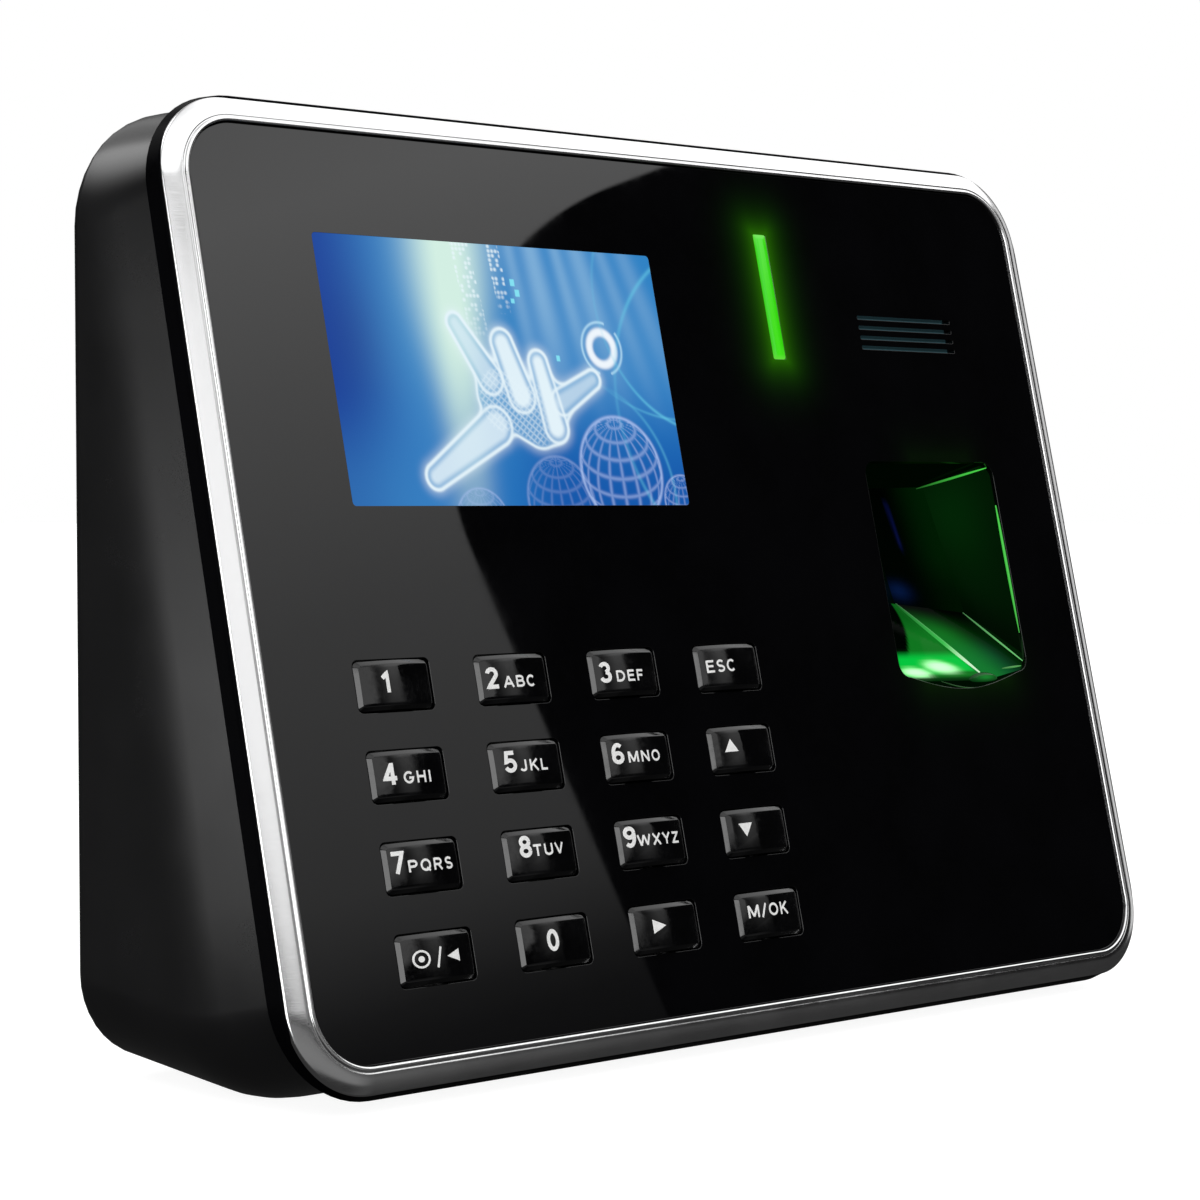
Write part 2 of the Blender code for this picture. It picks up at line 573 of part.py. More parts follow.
def make_wall_plate():
    x0, x1, z0, z1 = PLATE_BOX
    work = bmesh.new()
    points = outline(x0, x1, z0, z1, 4, steps=4)
    add_prism(work, points, 0, STEEL_T)
    stand = Matrix.Rotation(math.radians(90), 4, "X")
    plate = place(work, "wall_plate", stand, plate_steel)
    # Hooks reach forward into the housing, and a lower flange takes the lock screw
    work = bmesh.new()
    for side in (-1, 1):
        add_box(work, (side * 45 - 5, -5.0, 41.0), (side * 45 + 5, -0.6, 42.35))
    add_box(work, (-8, -11.0, -57.9), (8, -0.6, -56.6))
    boolean(plate, place(work, "plate_tabs", WORLD, None), "UNION")
    work = bmesh.new()
    bx0, bx1, bz0, bz1 = BAY
    add_box(work, (bx0, -3, bz0), (bx1, 1, bz1))
    for x in (-58, 58):
        for z in (-14, 34):
            add_rod(work, (x, -3, z), (x, 1, z), 2.3, 16)
    add_rod(work, (0, -5.2, -60), (0, -5.2, -55), 1.8, 16)
    boolean(plate, place(work, "plate_holes", WORLD, None))
    return plate


def make_screws():
    for i, (x, z) in enumerate(SCREW_XZ, 1):
        end = panel_y_at(z, 3.7) + 5.0
        work = bmesh.new()
        add_rod(work, (x, end + 2.7, z), (x, end + 4.9, z), 2.8, 16)
        screw = place(work, f"housing_screw_{i}", WORLD, screw_steel)
        boolean(screw, rod(f"shank_{i}", (x, end - 4.8, z), (x, end + 3.5, z), 1.4, sides=12), "UNION")
        boolean(screw, rod(f"socket_{i}", (x, end + 3.9, z), (x, end + 6, z), 1.3, sides=6))
    lock = rod("lock_screw", (0, -5.2, -65.4), (0, -5.2, -63.5), 2.8, WORLD, screw_steel, 16)
    boolean(lock, rod("lock_shank", (0, -5.2, -64.0), (0, -5.2, -54.0), 1.5, sides=12), "UNION")
    boolean(lock, rod("lock_hex", (0, -5.2, -67.0), (0, -5.2, -64.4), 1.3, sides=6))


make_rear_housing()
make_front_housing()
make_trim_ring()
make_front_panel()
make_display()
make_light_bar()
make_speaker()
make_keys()
make_keypad_layers()
make_reader()
make_electronics()
make_tamper_and_reset()
make_wall_plate()
make_screws()
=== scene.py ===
"""Looks of a wall terminal with a keypad, a colour display and a fingerprint reader.

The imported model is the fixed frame. Lengths in this file are millimetres until a piece is made, and
"panel frame" means x across the front panel, y up its slope and z out of its face.
"""

import math

import bmesh
import bpy
import numpy as np
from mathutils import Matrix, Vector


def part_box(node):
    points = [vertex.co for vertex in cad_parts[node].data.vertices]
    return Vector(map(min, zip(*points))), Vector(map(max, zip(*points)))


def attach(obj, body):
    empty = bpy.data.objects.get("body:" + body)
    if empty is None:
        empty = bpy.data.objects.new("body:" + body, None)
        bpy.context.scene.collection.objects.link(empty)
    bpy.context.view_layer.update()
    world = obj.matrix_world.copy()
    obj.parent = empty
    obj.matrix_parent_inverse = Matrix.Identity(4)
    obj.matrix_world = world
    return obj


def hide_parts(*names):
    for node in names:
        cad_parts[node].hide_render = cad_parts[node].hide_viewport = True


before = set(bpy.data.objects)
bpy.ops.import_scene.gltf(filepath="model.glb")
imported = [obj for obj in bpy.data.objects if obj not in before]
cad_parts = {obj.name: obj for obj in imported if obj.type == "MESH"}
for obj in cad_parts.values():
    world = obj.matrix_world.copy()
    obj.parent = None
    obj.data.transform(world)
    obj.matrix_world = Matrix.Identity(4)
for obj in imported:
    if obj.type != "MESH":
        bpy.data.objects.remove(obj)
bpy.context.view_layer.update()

MM = 0.001
TILT = math.radians(13.45)
PANEL_MID = np.array([0.0, -34.59, 1.6])
PANEL_AXES = np.array([[1, 0, 0], [0, math.sin(TILT), math.cos(TILT)],
                       [0, -math.cos(TILT), math.sin(TILT)]])

# Openings of the panel in its own frame: left, right, low, high
SCREEN = (-66.6, -1.1, 10.7, 49.5)
LIGHT = (23.3, 26.1, 34.1, 54.4)
READER = (40.2, 72.1, -17.4, 17.8)
READER_SWELL, READER_SWELL_HALF = 2.3, 13.6
PANEL_MAP = 200.0
# Box round the speaker's four slots, how far it stands off them, their spacing and their width
SLOTS, SLOT_MARGIN, SLOT_PITCH, SLOT_WIDTH = (44.8, 67.9, 36.2, 42.18), 0.5, 1.66, 0.62
KEY_FIRST, KEY_PITCH, KEY_HALF = (-64.3, -14.28), (21.81, 12.41), (6.6, 3.4)
KEY_RISE, KEY_SAG, KEY_GAP = 1.08, 0.72, 0.25
# Housing screws and board posts, x and z
SCREWS = [(-80.0, 48.0), (80.0, 48.0), (-80.0, -50.0), (80.0, -50.0)]
POSTS = [(-66.0, 2.0), (28.0, 2.0), (-48.0, -51.0), (28.0, -51.0)]
# Outline of the housings' slanted front edge, and how far under the panel's face they meet
FRONT_EDGE, FRONT_CORNER, MEETING = (-91.0, 91.0, -68.86, 69.17), 14.4, 3.7
# Outlines of the tub's crease and of its back, seen from behind, and half the back's width at its top
CREASE, REAR, REAR_TOP = (-90.8, 90.8, -68.06, 67.2), (-90.15, 90.15, -65.5, 66.5), 90.75


# ---------------------------------------------------------------- shapes as arrays

def on_panel(points):
    """Panel frame to the object's frame, both in millimetres."""
    return PANEL_MID + np.asarray(points, float) @ PANEL_AXES


def rounded(left, right, low, high, r_low, r_high=None, arc=10, straight=1):
    """Rounded rectangle, anticlockwise from the right side's upper end: four quarter circles, with the
    straight runs between them cut into equal steps."""
    r_high = r_low if r_high is None else r_high
    corners = np.array([(right - r_high, high - r_high, 0, r_high), (left + r_high, high - r_high, 90, r_high),
                        (left + r_low, low + r_low, 180, r_low), (right - r_low, low + r_low, 270, r_low)])
    turn = np.radians(corners[:, 2:3] + 90 * np.arange(arc + 1) / arc)
    arcs = np.stack([corners[:, :1] + corners[:, 3:] * np.cos(turn),
                     corners[:, 1:2] + corners[:, 3:] * np.sin(turn)], -1)
    share = (np.arange(1, straight) / straight)[:, None]
    runs = arcs[:, -1:] + (np.roll(arcs, -1, 0)[:, :1] - arcs[:, -1:]) * share
    return np.concatenate([arcs, runs], 1).reshape(-1, 2)


def grown(box, by, r, **cuts):
    """Rounded outline of a left, right, low, high box, grown all round, with this corner radius."""
    left, right, low, high = box
    return rounded(left - by, right + by, low - by, high + by, r, **cuts)


def level(points, height):
    """A flat outline at one height."""
    return np.column_stack([points, np.broadcast_to(height, len(points))])


def show(name, data):
    """A mesh, or the camera's data, as an object of the scene."""
    made = bpy.data.objects.new(name, data)
    bpy.context.scene.collection.objects.link(made)
    return made


def circle(sides):
    """Cosines and sines of even turns round a circle, one row each."""
    turn = np.linspace(0, 2 * np.pi, sides, endpoint=False)
    return np.column_stack([np.cos(turn), np.sin(turn)])


def stacked(rows, box, r, **cuts):
    """Rounded outlines of a box one above another in the panel frame: rows are (inset, height)."""
    return [on_panel(level(grown(box, -inset, r - inset, **cuts), height)) for inset, height in rows]


def mesh_of(name, points, faces):
    """A mesh from points in millimetres in the object's frame, faces turned outwards."""
    mesh = bpy.data.meshes.new(name)
    mesh.from_pydata((np.asarray(points) * MM).tolist(), [], [list(map(int, f)) for f in faces])
    work = bmesh.new()
    work.from_mesh(mesh)
    bmesh.ops.recalc_face_normals(work, faces=work.faces)
    work.to_mesh(mesh)
    work.free()
    return mesh


def quads(rows, columns, wrap_rows=False, wrap_columns=True):
    """Corner numbers of every quad of a grid, a whole array at once."""
    row, column = np.meshgrid(np.arange(rows - (not wrap_rows)), np.arange(columns - (not wrap_columns)),
                              indexing="ij")
    up, along = (row + 1) % rows, (column + 1) % columns
    return np.stack([row * columns + column, row * columns + along, up * columns + along,
                     up * columns + column], -1).reshape(-1, 4)


def skin(rings, ends=True, wrap=False):
    """Sections joined into a skin: closed ends are single faces, and wrap joins the last to the first."""
    rings = np.asarray(rings, float)
    count, sides = rings.shape[:2]
    faces = quads(count, sides, wrap).tolist()
    if ends and not wrap:
        faces += [list(range(sides))[::-1], list(range((count - 1) * sides, count * sides))]
    return rings.reshape(-1, 3), faces


def several(*parts):
    """Closed skins put together in one mesh."""
    points, faces, start = [], [], 0
    for part_points, part_faces in parts:
        points.append(part_points)
        faces += [[start + i for i in face] for face in part_faces]
        start += len(part_points)
    return np.vstack(points), faces


def block(low, high, r=0.0, place=lambda p: p):
    """Upright box, its four long edges rounded where r is given."""
    if r:
        ring = rounded(low[0], high[0], low[1], high[1], r, arc=6)
    else:
        ring = np.array([(high[0], high[1]), (low[0], high[1]), (low[0], low[1]), (high[0], low[1])], float)
    points, faces = skin([level(ring, low[2]), level(ring, high[2])])
    return place(points), faces


def turned(line, radii, sides=32, lean=(0.31, 0.17, 0.93)):
    """Solid of revolution: a radius at each point of a line. lean sets where round it the corners fall."""
    line = np.asarray(line, float)
    way = line[-1] - line[0]
    way /= np.linalg.norm(way)
    side = np.cross(way, lean)
    side /= np.linalg.norm(side)
    ring = circle(sides) @ [side, np.cross(way, side)]
    return skin(line[:, None] + np.asarray(radii, float)[:, None, None] * ring)


def pin(start, end, radius, sides=32):
    return turned([start, end], [radius, radius], sides)


def piece(name, shape, body, finish, steps=(), sharp=32.0, replaces=(), uv=None):
    """One piece of the object. steps are (operation, shape) pairs worked on it in order."""
    made = show(name, mesh_of(name, *shape))
    for operation, other in steps:
        helper = show("tool", mesh_of("tool", *other))
        step = made.modifiers.new("work", "BOOLEAN")
        step.operation, step.object, step.solver, step.use_self = operation, helper, "EXACT", True
        graph = bpy.context.evaluated_depsgraph_get()
        worked = bpy.data.meshes.new_from_object(made.evaluated_get(graph))
        made.modifiers.clear()
        made.data = worked
        bpy.data.objects.remove(helper)
    made.data.name = name
    mesh = made.data
    mesh.polygons.foreach_set("material_index", np.zeros(len(mesh.polygons), np.int32))
    mesh.polygons.foreach_set("use_smooth", np.ones(len(mesh.polygons), bool))
    mesh.set_sharp_from_angle(angle=math.radians(sharp))
    mesh.materials.clear()
    mesh.materials.append(finish)
    if uv is not None:
        flat_map(mesh, uv)
    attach(made, body)
    if replaces:
        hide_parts(*replaces)
    return made


def points_of(mesh):
    flat = np.empty(len(mesh.vertices) * 3, np.float32)
    mesh.vertices.foreach_get("co", flat)
    return flat.reshape(-1, 3).astype(float)


def to_panel(points):
    """Object's frame in metres to the panel frame in millimetres."""
    return (points / MM - PANEL_MID) @ PANEL_AXES.T


def flat_map(mesh, size):
    """UV map: panel frame x and y over size, centred on 0.5."""
    layer = mesh.uv_layers.new(name="UVMap")
    corner = np.empty(len(mesh.loops), np.int32)
    mesh.loops.foreach_get("vertex_index", corner)
    place = to_panel(points_of(mesh))[corner, :2] / size + 0.5
    layer.data.foreach_set("uv", place.astype(np.float32).ravel())


# ---------------------------------------------------------------- finishes

class Nodes:
    """Short words for building a node tree."""

    def __init__(self, tree):
        self.tree = tree

    def add(self, kind, **settings):
        node = self.tree.nodes.new(kind)
        for key, value in settings.items():
            setattr(node, key, value)
        return node

    def join(self, source, target):
        self.tree.links.new(source, target)

    def feed(self, socket, value):
        if isinstance(value, bpy.types.NodeSocket):
            self.join(value, socket)
        else:
            socket.default_value = value

    def math(self, operation, a, b=0.0, c=0.0, clamp=False):
        node = self.add("ShaderNodeMath", operation=operation, use_clamp=clamp)
        for socket, value in zip(node.inputs, (a, b, c)):
            self.feed(socket, value)
        return node.outputs[0]

    def many(self, operation, first, *others):
        """One sum worked along a row of values."""
        for other in others:
            first = self.math(operation, first, other)
        return first

    def hypot(self, a, b):
        return self.math("SQRT", self.math("ADD", self.math("MULTIPLY", a, a), self.math("MULTIPLY", b, b)))

    def ramp(self, value, low, high, to_low=0.0, to_high=1.0, smooth=True):
        node = self.add("ShaderNodeMapRange", interpolation_type="SMOOTHSTEP" if smooth else "LINEAR")
        for key, number in (("Value", value), ("From Min", low), ("From Max", high), ("To Min", to_low),
                            ("To Max", to_high)):
            self.feed(node.inputs[key], number)
        return node.outputs["Result"]

    def noise(self, place, size_mm, detail=3.0, stretch=(1, 1, 1)):
        """Noise whose blobs are about size_mm wide, drawn out by stretch."""
        spread = self.add("ShaderNodeMapping")
        self.join(place, spread.inputs["Vector"])
        spread.inputs["Scale"].default_value = [1 / (size_mm * MM * s) for s in stretch]
        node = self.add("ShaderNodeTexNoise")
        self.join(spread.outputs["Vector"], node.inputs["Vector"])
        node.inputs["Scale"].default_value = 1.0
        node.inputs["Detail"].default_value = detail
        return node.outputs["Fac"]

    def mix(self, share, a, b):
        node = self.add("ShaderNodeMix", data_type="RGBA")
        self.feed(node.inputs[0], share)
        for socket, colour in ((node.inputs[6], a), (node.inputs[7], b)):
            self.feed(socket, (*colour, 1) if isinstance(colour, tuple) else colour)
        return node.outputs[2]


def finish(name, colour, rough, metal=0.0, grain=0.4, bump=0.08, tone=0.25, patch=14.0, rough_swing=0.12,
           stretch=(1, 1, 1), worn=None, **shader_values):
    """Moulded or metal finish: colour drifts by tone in wide patches, roughness drifts with it, a fine
    grain lifts the surface, and worn is the colour of sparse light rubs."""
    made = bpy.data.materials.new(name)
    made.use_nodes = True
    made.diffuse_color = (*colour, 1)
    n = Nodes(made.node_tree)
    shader = made.node_tree.nodes["Principled BSDF"]
    place = n.add("ShaderNodeTexCoord").outputs["Object"]
    wide = n.noise(place, patch, 4.0)
    fine = n.noise(place, grain, 3.0, stretch)
    dark = tuple(c * (1 - tone) for c in colour)
    light = tuple(min(1.0, c * (1 + tone)) for c in colour)
    shown = n.mix(n.ramp(wide, 0.3, 0.7), dark, light)
    shown = n.mix(n.ramp(fine, 0.35, 0.75, 0.0, 0.5), shown, light)
    if worn:
        rubs = n.math("MULTIPLY", n.ramp(n.noise(place, 3.0, 6.0), 0.62, 0.74),
                      n.ramp(n.noise(place, 22.0, 2.0), 0.5, 0.68))
        shown = n.mix(n.math("MULTIPLY", rubs, 0.5), shown, worn)
    n.join(shown, shader.inputs["Base Color"])
    spread = n.math("ADD", n.ramp(wide, 0.3, 0.7, -rough_swing * 0.5, rough_swing * 0.5),
                    n.ramp(fine, 0.3, 0.7, -rough_swing * 0.3, rough_swing * 0.3))
    n.join(n.math("ADD", spread, rough, clamp=True), shader.inputs["Roughness"])
    shader.inputs["Metallic"].default_value = metal
    if bump:
        lift = n.add("ShaderNodeBump")
        lift.inputs["Strength"].default_value = min(1.0, bump * 4)
        lift.inputs["Distance"].default_value = bump * grain * MM
        n.join(fine, lift.inputs["Height"])
        n.join(lift.outputs["Normal"], shader.inputs["Normal"])
    for key, value in shader_values.items():
        shader.inputs[key.replace("_", " ")].default_value = value
    made["shader"] = shader.name
    return made


def shader_of(material):
    return material.node_tree.nodes[material["shader"]]


shell_black = finish("shell_satin_black", (0.009, 0.009, 0.0095), 0.25, grain=0.22, bump=0.05, tone=0.1,
                     worn=(0.016, 0.016, 0.017), rough_swing=0.04)
lip_black = finish("lip_black", (0.0015, 0.0015, 0.002), 0.32, grain=0.5, bump=0.03, Specular_IOR_Level=0.01)
ring_satin = finish("ring_satin_silver", (0.8, 0.8, 0.805), 0.17, metal=1.0, grain=0.14, bump=0.05, tone=0.05,
                    rough_swing=0.06, stretch=(14, 14, 1))
key_black = finish("key_gloss_black", (0.0014, 0.0014, 0.0017), 0.11, grain=0.6, bump=0.015, tone=0.3, patch=5.0)
# Legend print with a faint painted white glow
legend_white_painted_glow = finish("legend_white_painted_glow", (0.66, 0.66, 0.65), 0.5, grain=0.12, bump=0.05, tone=0.1, patch=1.2,
                      Emission_Color=(1, 1, 1, 1), Emission_Strength=0.2)
inner_black = finish("inner_black", (0.016, 0.016, 0.017), 0.5, grain=0.35, bump=0.2)
# Grille cloth with a faint painted teal glow
teal_cloth_painted_glow = finish("grille_cloth", (0.012, 0.075, 0.095), 0.6, grain=0.25, bump=0.5, tone=0.3,
                    Emission_Color=(0.38, 0.85, 1.0, 1), Emission_Strength=0.045)
board_green = finish("solder_mask", (0.008, 0.10, 0.04), 0.38, grain=0.9, bump=0.15, tone=0.25, patch=4.0)
zinc = finish("zinc_plate", (0.56, 0.57, 0.58), 0.34, metal=1.0, grain=0.5, bump=0.08, tone=0.12, patch=7.0,
              rough_swing=0.22, stretch=(9, 1, 1), worn=(0.8, 0.8, 0.8))
plated = finish("plated_steel", (0.62, 0.62, 0.63), 0.24, metal=1.0, grain=0.3, bump=0.08, tone=0.08)
screw_zinc = finish("screw_steel", (0.5, 0.5, 0.49), 0.3, metal=1.0, grain=0.2, bump=0.2, tone=0.15, patch=1.5)
rubber_grey = finish("mat_rubber", (0.22, 0.22, 0.23), 0.6, grain=0.4, bump=0.2)
foam_black = finish("foam", (0.025, 0.025, 0.026), 0.9, grain=0.5, bump=0.9)
battery_blue = finish("battery_wrap", (0.03, 0.09, 0.3), 0.35, grain=1.2, bump=0.1)
terminal_green = finish("terminal_green", (0.015, 0.22, 0.08), 0.45, grain=0.3, bump=0.2)
button_red = finish("button_red", (0.45, 0.02, 0.015), 0.4, grain=0.2, bump=0.15)


def lacquer(name):
    """Deep gloss black with a breath of dust, and painted green light round the light bar and the reader: a glow on
    the panel that falls away with distance from each."""
    made = finish(name, (0.0013, 0.0013, 0.0017), 0.014, grain=1.6, bump=0.0, tone=0.3, rough_swing=0.012)
    n = Nodes(made.node_tree)
    shader = shader_of(made)
    split = n.add("ShaderNodeSeparateXYZ")
    n.join(n.add("ShaderNodeTexCoord").outputs["UV"], split.inputs[0])
    x, y = [n.math("MULTIPLY", n.math("SUBTRACT", split.outputs[i], 0.5), PANEL_MAP) for i in range(2)]

    def painted_glow(left, right, low, high, fall, strength):
        out = []
        for place, a, b in ((x, left, right), (y, low, high)):
            off = n.math("ABSOLUTE", n.math("SUBTRACT", place, (a + b) / 2))
            out.append(n.math("MAXIMUM", n.math("SUBTRACT", off, (b - a) / 2), 0.0))
        reach = n.hypot(*out)
        return n.math("MULTIPLY", n.math("EXPONENT", n.math("MULTIPLY", reach, -1 / fall)), strength)

    # Painted glow: the bar's and the reader's green light put on the panel as emission
    bar = painted_glow(LIGHT[0] - 0.2, LIGHT[1] + 0.2, LIGHT[2] - 0.2, LIGHT[3] + 0.2, 1.9, 0.11)
    glow_under_reader = painted_glow(47.0, 66.0, -18.0, -16.0, 2.6, 0.012)
    glow_over_reader = painted_glow(52.0, 66.0, 18.2, 19.0, 2.2, 0.004)
    shader.inputs["Emission Color"].default_value = (0.14, 1.0, 0.0, 1)
    n.join(n.many("ADD", bar, glow_under_reader, glow_over_reader), shader.inputs["Emission Strength"])
    return made


def glowing(name, attribute, rough=0.06, specular=0.5, base=(0.002, 0.003, 0.003), strength=1.0):
    """Gloss surface that glows with the colours stored on its points: the screen's and the light bar's own light, and
    painted light and highlights on the reader's block and edges.
    """
    made = finish(name, base, rough, grain=0.8, bump=0.0, rough_swing=0.03, Specular_IOR_Level=specular)
    n = Nodes(made.node_tree)
    stored = n.add("ShaderNodeAttribute", attribute_name=attribute)
    shader = shader_of(made)
    n.join(stored.outputs["Color"], shader.inputs["Emission Color"])
    shader.inputs["Emission Strength"].default_value = strength
    return made


def paint(mesh, name, colours, where="POINT"):
    """Store one colour per point, or per face corner so that it breaks cleanly along shared edges."""
    layer = mesh.color_attributes.new(name, "FLOAT_COLOR", where)
    if where == "CORNER":
        corner = np.empty(len(mesh.loops), np.int32)
        mesh.loops.foreach_get("vertex_index", corner)
        colours = colours[corner]
    filled = np.ones((len(colours), 4), np.float32)
    filled[:, :3] = colours
    layer.data.foreach_set("color", filled.ravel())


def gauss(x, y, x0, y0, w, h):
    """Soft round spot."""
    return np.exp(-((x - x0) / w) ** 2 - ((y - y0) / h) ** 2)


def soft(value, low, high):
    t = np.clip((value - low) / (high - low), 0, 1)
    return t * t * (3 - 2 * t)


# ---------------------------------------------------------------- rear housing

def tub_rings(inset, front_extra, rear_y, corner=10, run=8):
    """Tub skin as rings: a flat run from the slanted front edge to the crease, a parabolic bend there, a
    second run to the back's edge and a tight bend into the flat back. Every ring is a rounded outline, and
    ring points with one number lie on one line from front to back."""
    edge = 2.0 + inset
    start, = stacked([(edge, front_extra - MEETING - 0.1)], FRONT_EDGE, FRONT_CORNER, arc=corner, straight=run)
    crease = grown(CREASE, -inset, 12.4 - inset, r_high=16.9 - inset, arc=corner, straight=run)
    rise = (crease[:, 1] - CREASE[2]) / (CREASE[3] - CREASE[2])
    depth = np.minimum(-30.76 + 27.86 * rise, rear_y - 1.2)
    crease = np.column_stack([crease[:, 0], depth, crease[:, 1]])
    low, high = REAR[2] + inset, REAR[3] - inset
    rear = grown(REAR, -inset, 12.5 - inset, r_high=15.9 - inset, arc=corner, straight=run)
    rear[:, 0] *= 1 + (rear[:, 1] - low) / (high - low) * (REAR_TOP / REAR[1] - 1)
    rear = np.column_stack([rear[:, 0], np.full(len(rear), rear_y), rear[:, 1]])
    centre = np.array([0, rear_y, (low + high) / 2])
    back = rear + (centre - rear) * [2.2 / REAR_TOP, 0, 2.2 / high]

    def toward(a, b, length):
        reach = np.linalg.norm(b - a, axis=1, keepdims=True)
        return a + (b - a) * np.minimum(length / np.maximum(reach, 1e-9), 0.42)

    def line(a, b, steps):
        return [a + (b - a) * t for t in steps]

    def bend(a, b, c, count):
        return [a * (1 - t) ** 2 + 2 * b * t * (1 - t) + c * t ** 2 for t in np.linspace(0, 1, count)]

    c0, c1 = toward(crease, start, 5.0), toward(crease, rear, 5.0)
    r0 = toward(rear, crease, 2.2)
    return (line(start, c0, np.array([0, 0.02, 0.3, 0.6, 0.85, 0.97])) + bend(c0, crease, c1, 9)
            + line(c1, r0, np.array([0.03, 0.3, 0.7, 0.97])) + bend(r0, rear, back, 7))


def panel_y(z, depth):
    """Y of the panel's plane, this far under its face, at height z."""
    return PANEL_MID[1] + (z - PANEL_MID[2]) * math.tan(TILT) + depth / math.cos(TILT)


def make_shell():
    """Rear tub: hollowed, with a bay for the connectors, posts, the plate's recess, screw holes and vents."""
    add, cut = "UNION", "DIFFERENCE"
    ends = [panel_y(z, MEETING) + 5.0 for x, z in SCREWS]
    # Inside, the bay's walls, the screw and board posts and the lock screw's boss
    steps = [(cut, skin(tub_rings(2.2, 1.5, -3.4, 6, 1))),
             (add, block((-39.8, -17.8, -48.8), (39.8, -1.8, -21.2)))]
    steps += [(add, pin((x, -1.5, z), (x, end, z), 4.6)) for (x, z), end in zip(SCREWS, ends)]
    steps += [(add, pin((x, -2.0, z), (x, -19.8, z), 3.0, 24)) for x, z in POSTS]
    steps += [(add, pin((0, -5.2, -66), (0, -5.2, -59.2), 4.2))]
    # Connector bay and the sockets' openings in its floor
    bay = several(block((-38, -16, -47), (38, 2, -23)))
    floor = several(block((-30.4, -18.6, -43.4), (-13.6, -15, -28.6)), block((-8.4, -18.6, -41.4), (1.4, -15, -29.6)),
                    block((7.6, -18.6, -40.9), (30.4, -15, -29.1)), pin((35, -18.6, -27), (35, -15, -27), 2.1))
    steps += [(cut, bay), (cut, floor)]
    # Recess of the wall plate, its three hooks' slots, the screw holes, the lock screw's and the USB mouth
    upright = lambda p: np.column_stack([p[:, 0], -p[:, 2], p[:, 1]])
    steps += [(cut, block((-70.3, -58.3, -2), (70.3, 50.3, 1.65), 4.3, upright)),
              (cut, several(block((-52, -5.4, 40), (-38, 0, 46.5)), block((38, -5.4, 40), (52, 0, 46.5)),
                            block((-9, -12, -58.4), (9, 0, -56.2)))),
              (cut, several(*[pin((x, 2, z), (x, end + 2.4, z), 3.3) for (x, z), end in zip(SCREWS, ends)])),
              (cut, several(*[pin((x, end + 3.4, z), (x, end - 1, z), 1.8) for (x, z), end in zip(SCREWS, ends)],
                            pin((56, -6, -40), (56, 2, -40), 2.8))),
              (cut, pin((0, -5.2, -70), (0, -5.2, -58), 1.8)), (cut, pin((0, -5.2, -70), (0, -5.2, -63.2), 3.3)),
              (cut, block((-74.2, -19.4, -75), (-59.8, -12.4, -58), 0.0))]
    # Two rows of vents in the back above the plate
    vents = several(*[block((-30 + 12 * i, z, -2), (-22.5 + 12 * i, z + 1.6, 1.1), 0.78, upright)
                      for z in (53.4, 56.8) for i in range(6)])
    steps += [(cut, vents)]
    piece("rear_shell", skin(tub_rings(0, 0, 0)), "terminal", shell_black, steps,
          replaces=["rear_housing"])


# ---------------------------------------------------------------- front housing, ring and panel

def screen_edge(grow):
    return grown(SCREEN, grow, 0.6, arc=4)


def light_edge(grow):
    return grown(LIGHT, grow, 0.3 + grow, arc=4)


def reader_edge(grow):
    """Rounded opening whose lower edge swells downwards by a half sine."""
    ring = grown(READER, grow, 2.4 + grow, arc=8, straight=16)
    off = (ring[:, 0] - (READER[0] + READER[1]) / 2) / READER_SWELL_HALF
    inside = (ring[:, 1] < READER[2] - grow + 0.01) & (np.abs(off) < 1)
    ring[inside, 1] -= READER_SWELL * np.cos(off[inside] * np.pi / 2)
    return ring


def key_places():
    return np.array([(KEY_FIRST[0] + c * KEY_PITCH[0], KEY_FIRST[1] - r * KEY_PITCH[1])
                     for r in range(4) for c in range(4)])


def key_box(x=0.0, y=0.0):
    return x - KEY_HALF[0], x + KEY_HALF[0], y - KEY_HALF[1], y + KEY_HALF[1]


def key_edge(x, y, grow):
    return grown(key_box(x, y), KEY_GAP + grow, 0.9 + grow, arc=5)


def flared(edge, soften=0.06):
    """Cutter that opens out at the face by a small quarter round: edge gives the outline grown by a distance."""
    turn = np.linspace(0, np.pi / 2, 4)
    rings = [level(edge(0), -2.5), level(edge(0), -soften)]
    rings += [level(edge(soften * (1 - math.cos(t))), -soften * (1 - math.sin(t))) for t in turn[1:]]
    return skin([on_panel(ring) for ring in rings + [level(edge(soften), 1.0)]])


def plate(ring, low, high):
    """Flat solid of one outline in the panel frame."""
    return skin([on_panel(level(ring, low)), on_panel(level(ring, high))])


def make_front_housing():
    """Gloss lip: a low rounded edge round the ring, then a wall that leans out to where it meets the tub."""
    rows = [(0.97, -1.75), (0.95, -1.2), (0.88, -1.12), (0.72, -1.09), (0.6, -1.16)]
    rows += [(0.836 + 0.2392 * h, h) for h in (-1.3, -1.7, -2.2, -2.7, -3.2, -3.47)] + [(0.25, -MEETING)]
    steps = []
    for x, z in SCREWS:
        end = panel_y(z, MEETING) + 4.7
        steps += [("UNION", pin((x, panel_y(z, 3.0), z), (x, end, z), 3.6)),
                  ("DIFFERENCE", pin((x, end - 5.2, z), (x, end + 1, z), 1.7))]
    holes = [screen_edge(0.3), reader_edge(0.3), grown(SLOTS, 0.5, 0.8), grown(LIGHT, 0.3, 0.3)]
    holes += [key_edge(x, y, 0.3) for x, y in key_places()]
    steps += [("DIFFERENCE", several(*[plate(ring, -4.7, -0.7) for ring in holes]))]
    piece("front_lip", skin(stacked(rows, FRONT_EDGE, FRONT_CORNER, arc=14, straight=6)), "terminal",
          lip_black, steps, replaces=["front_housing"])


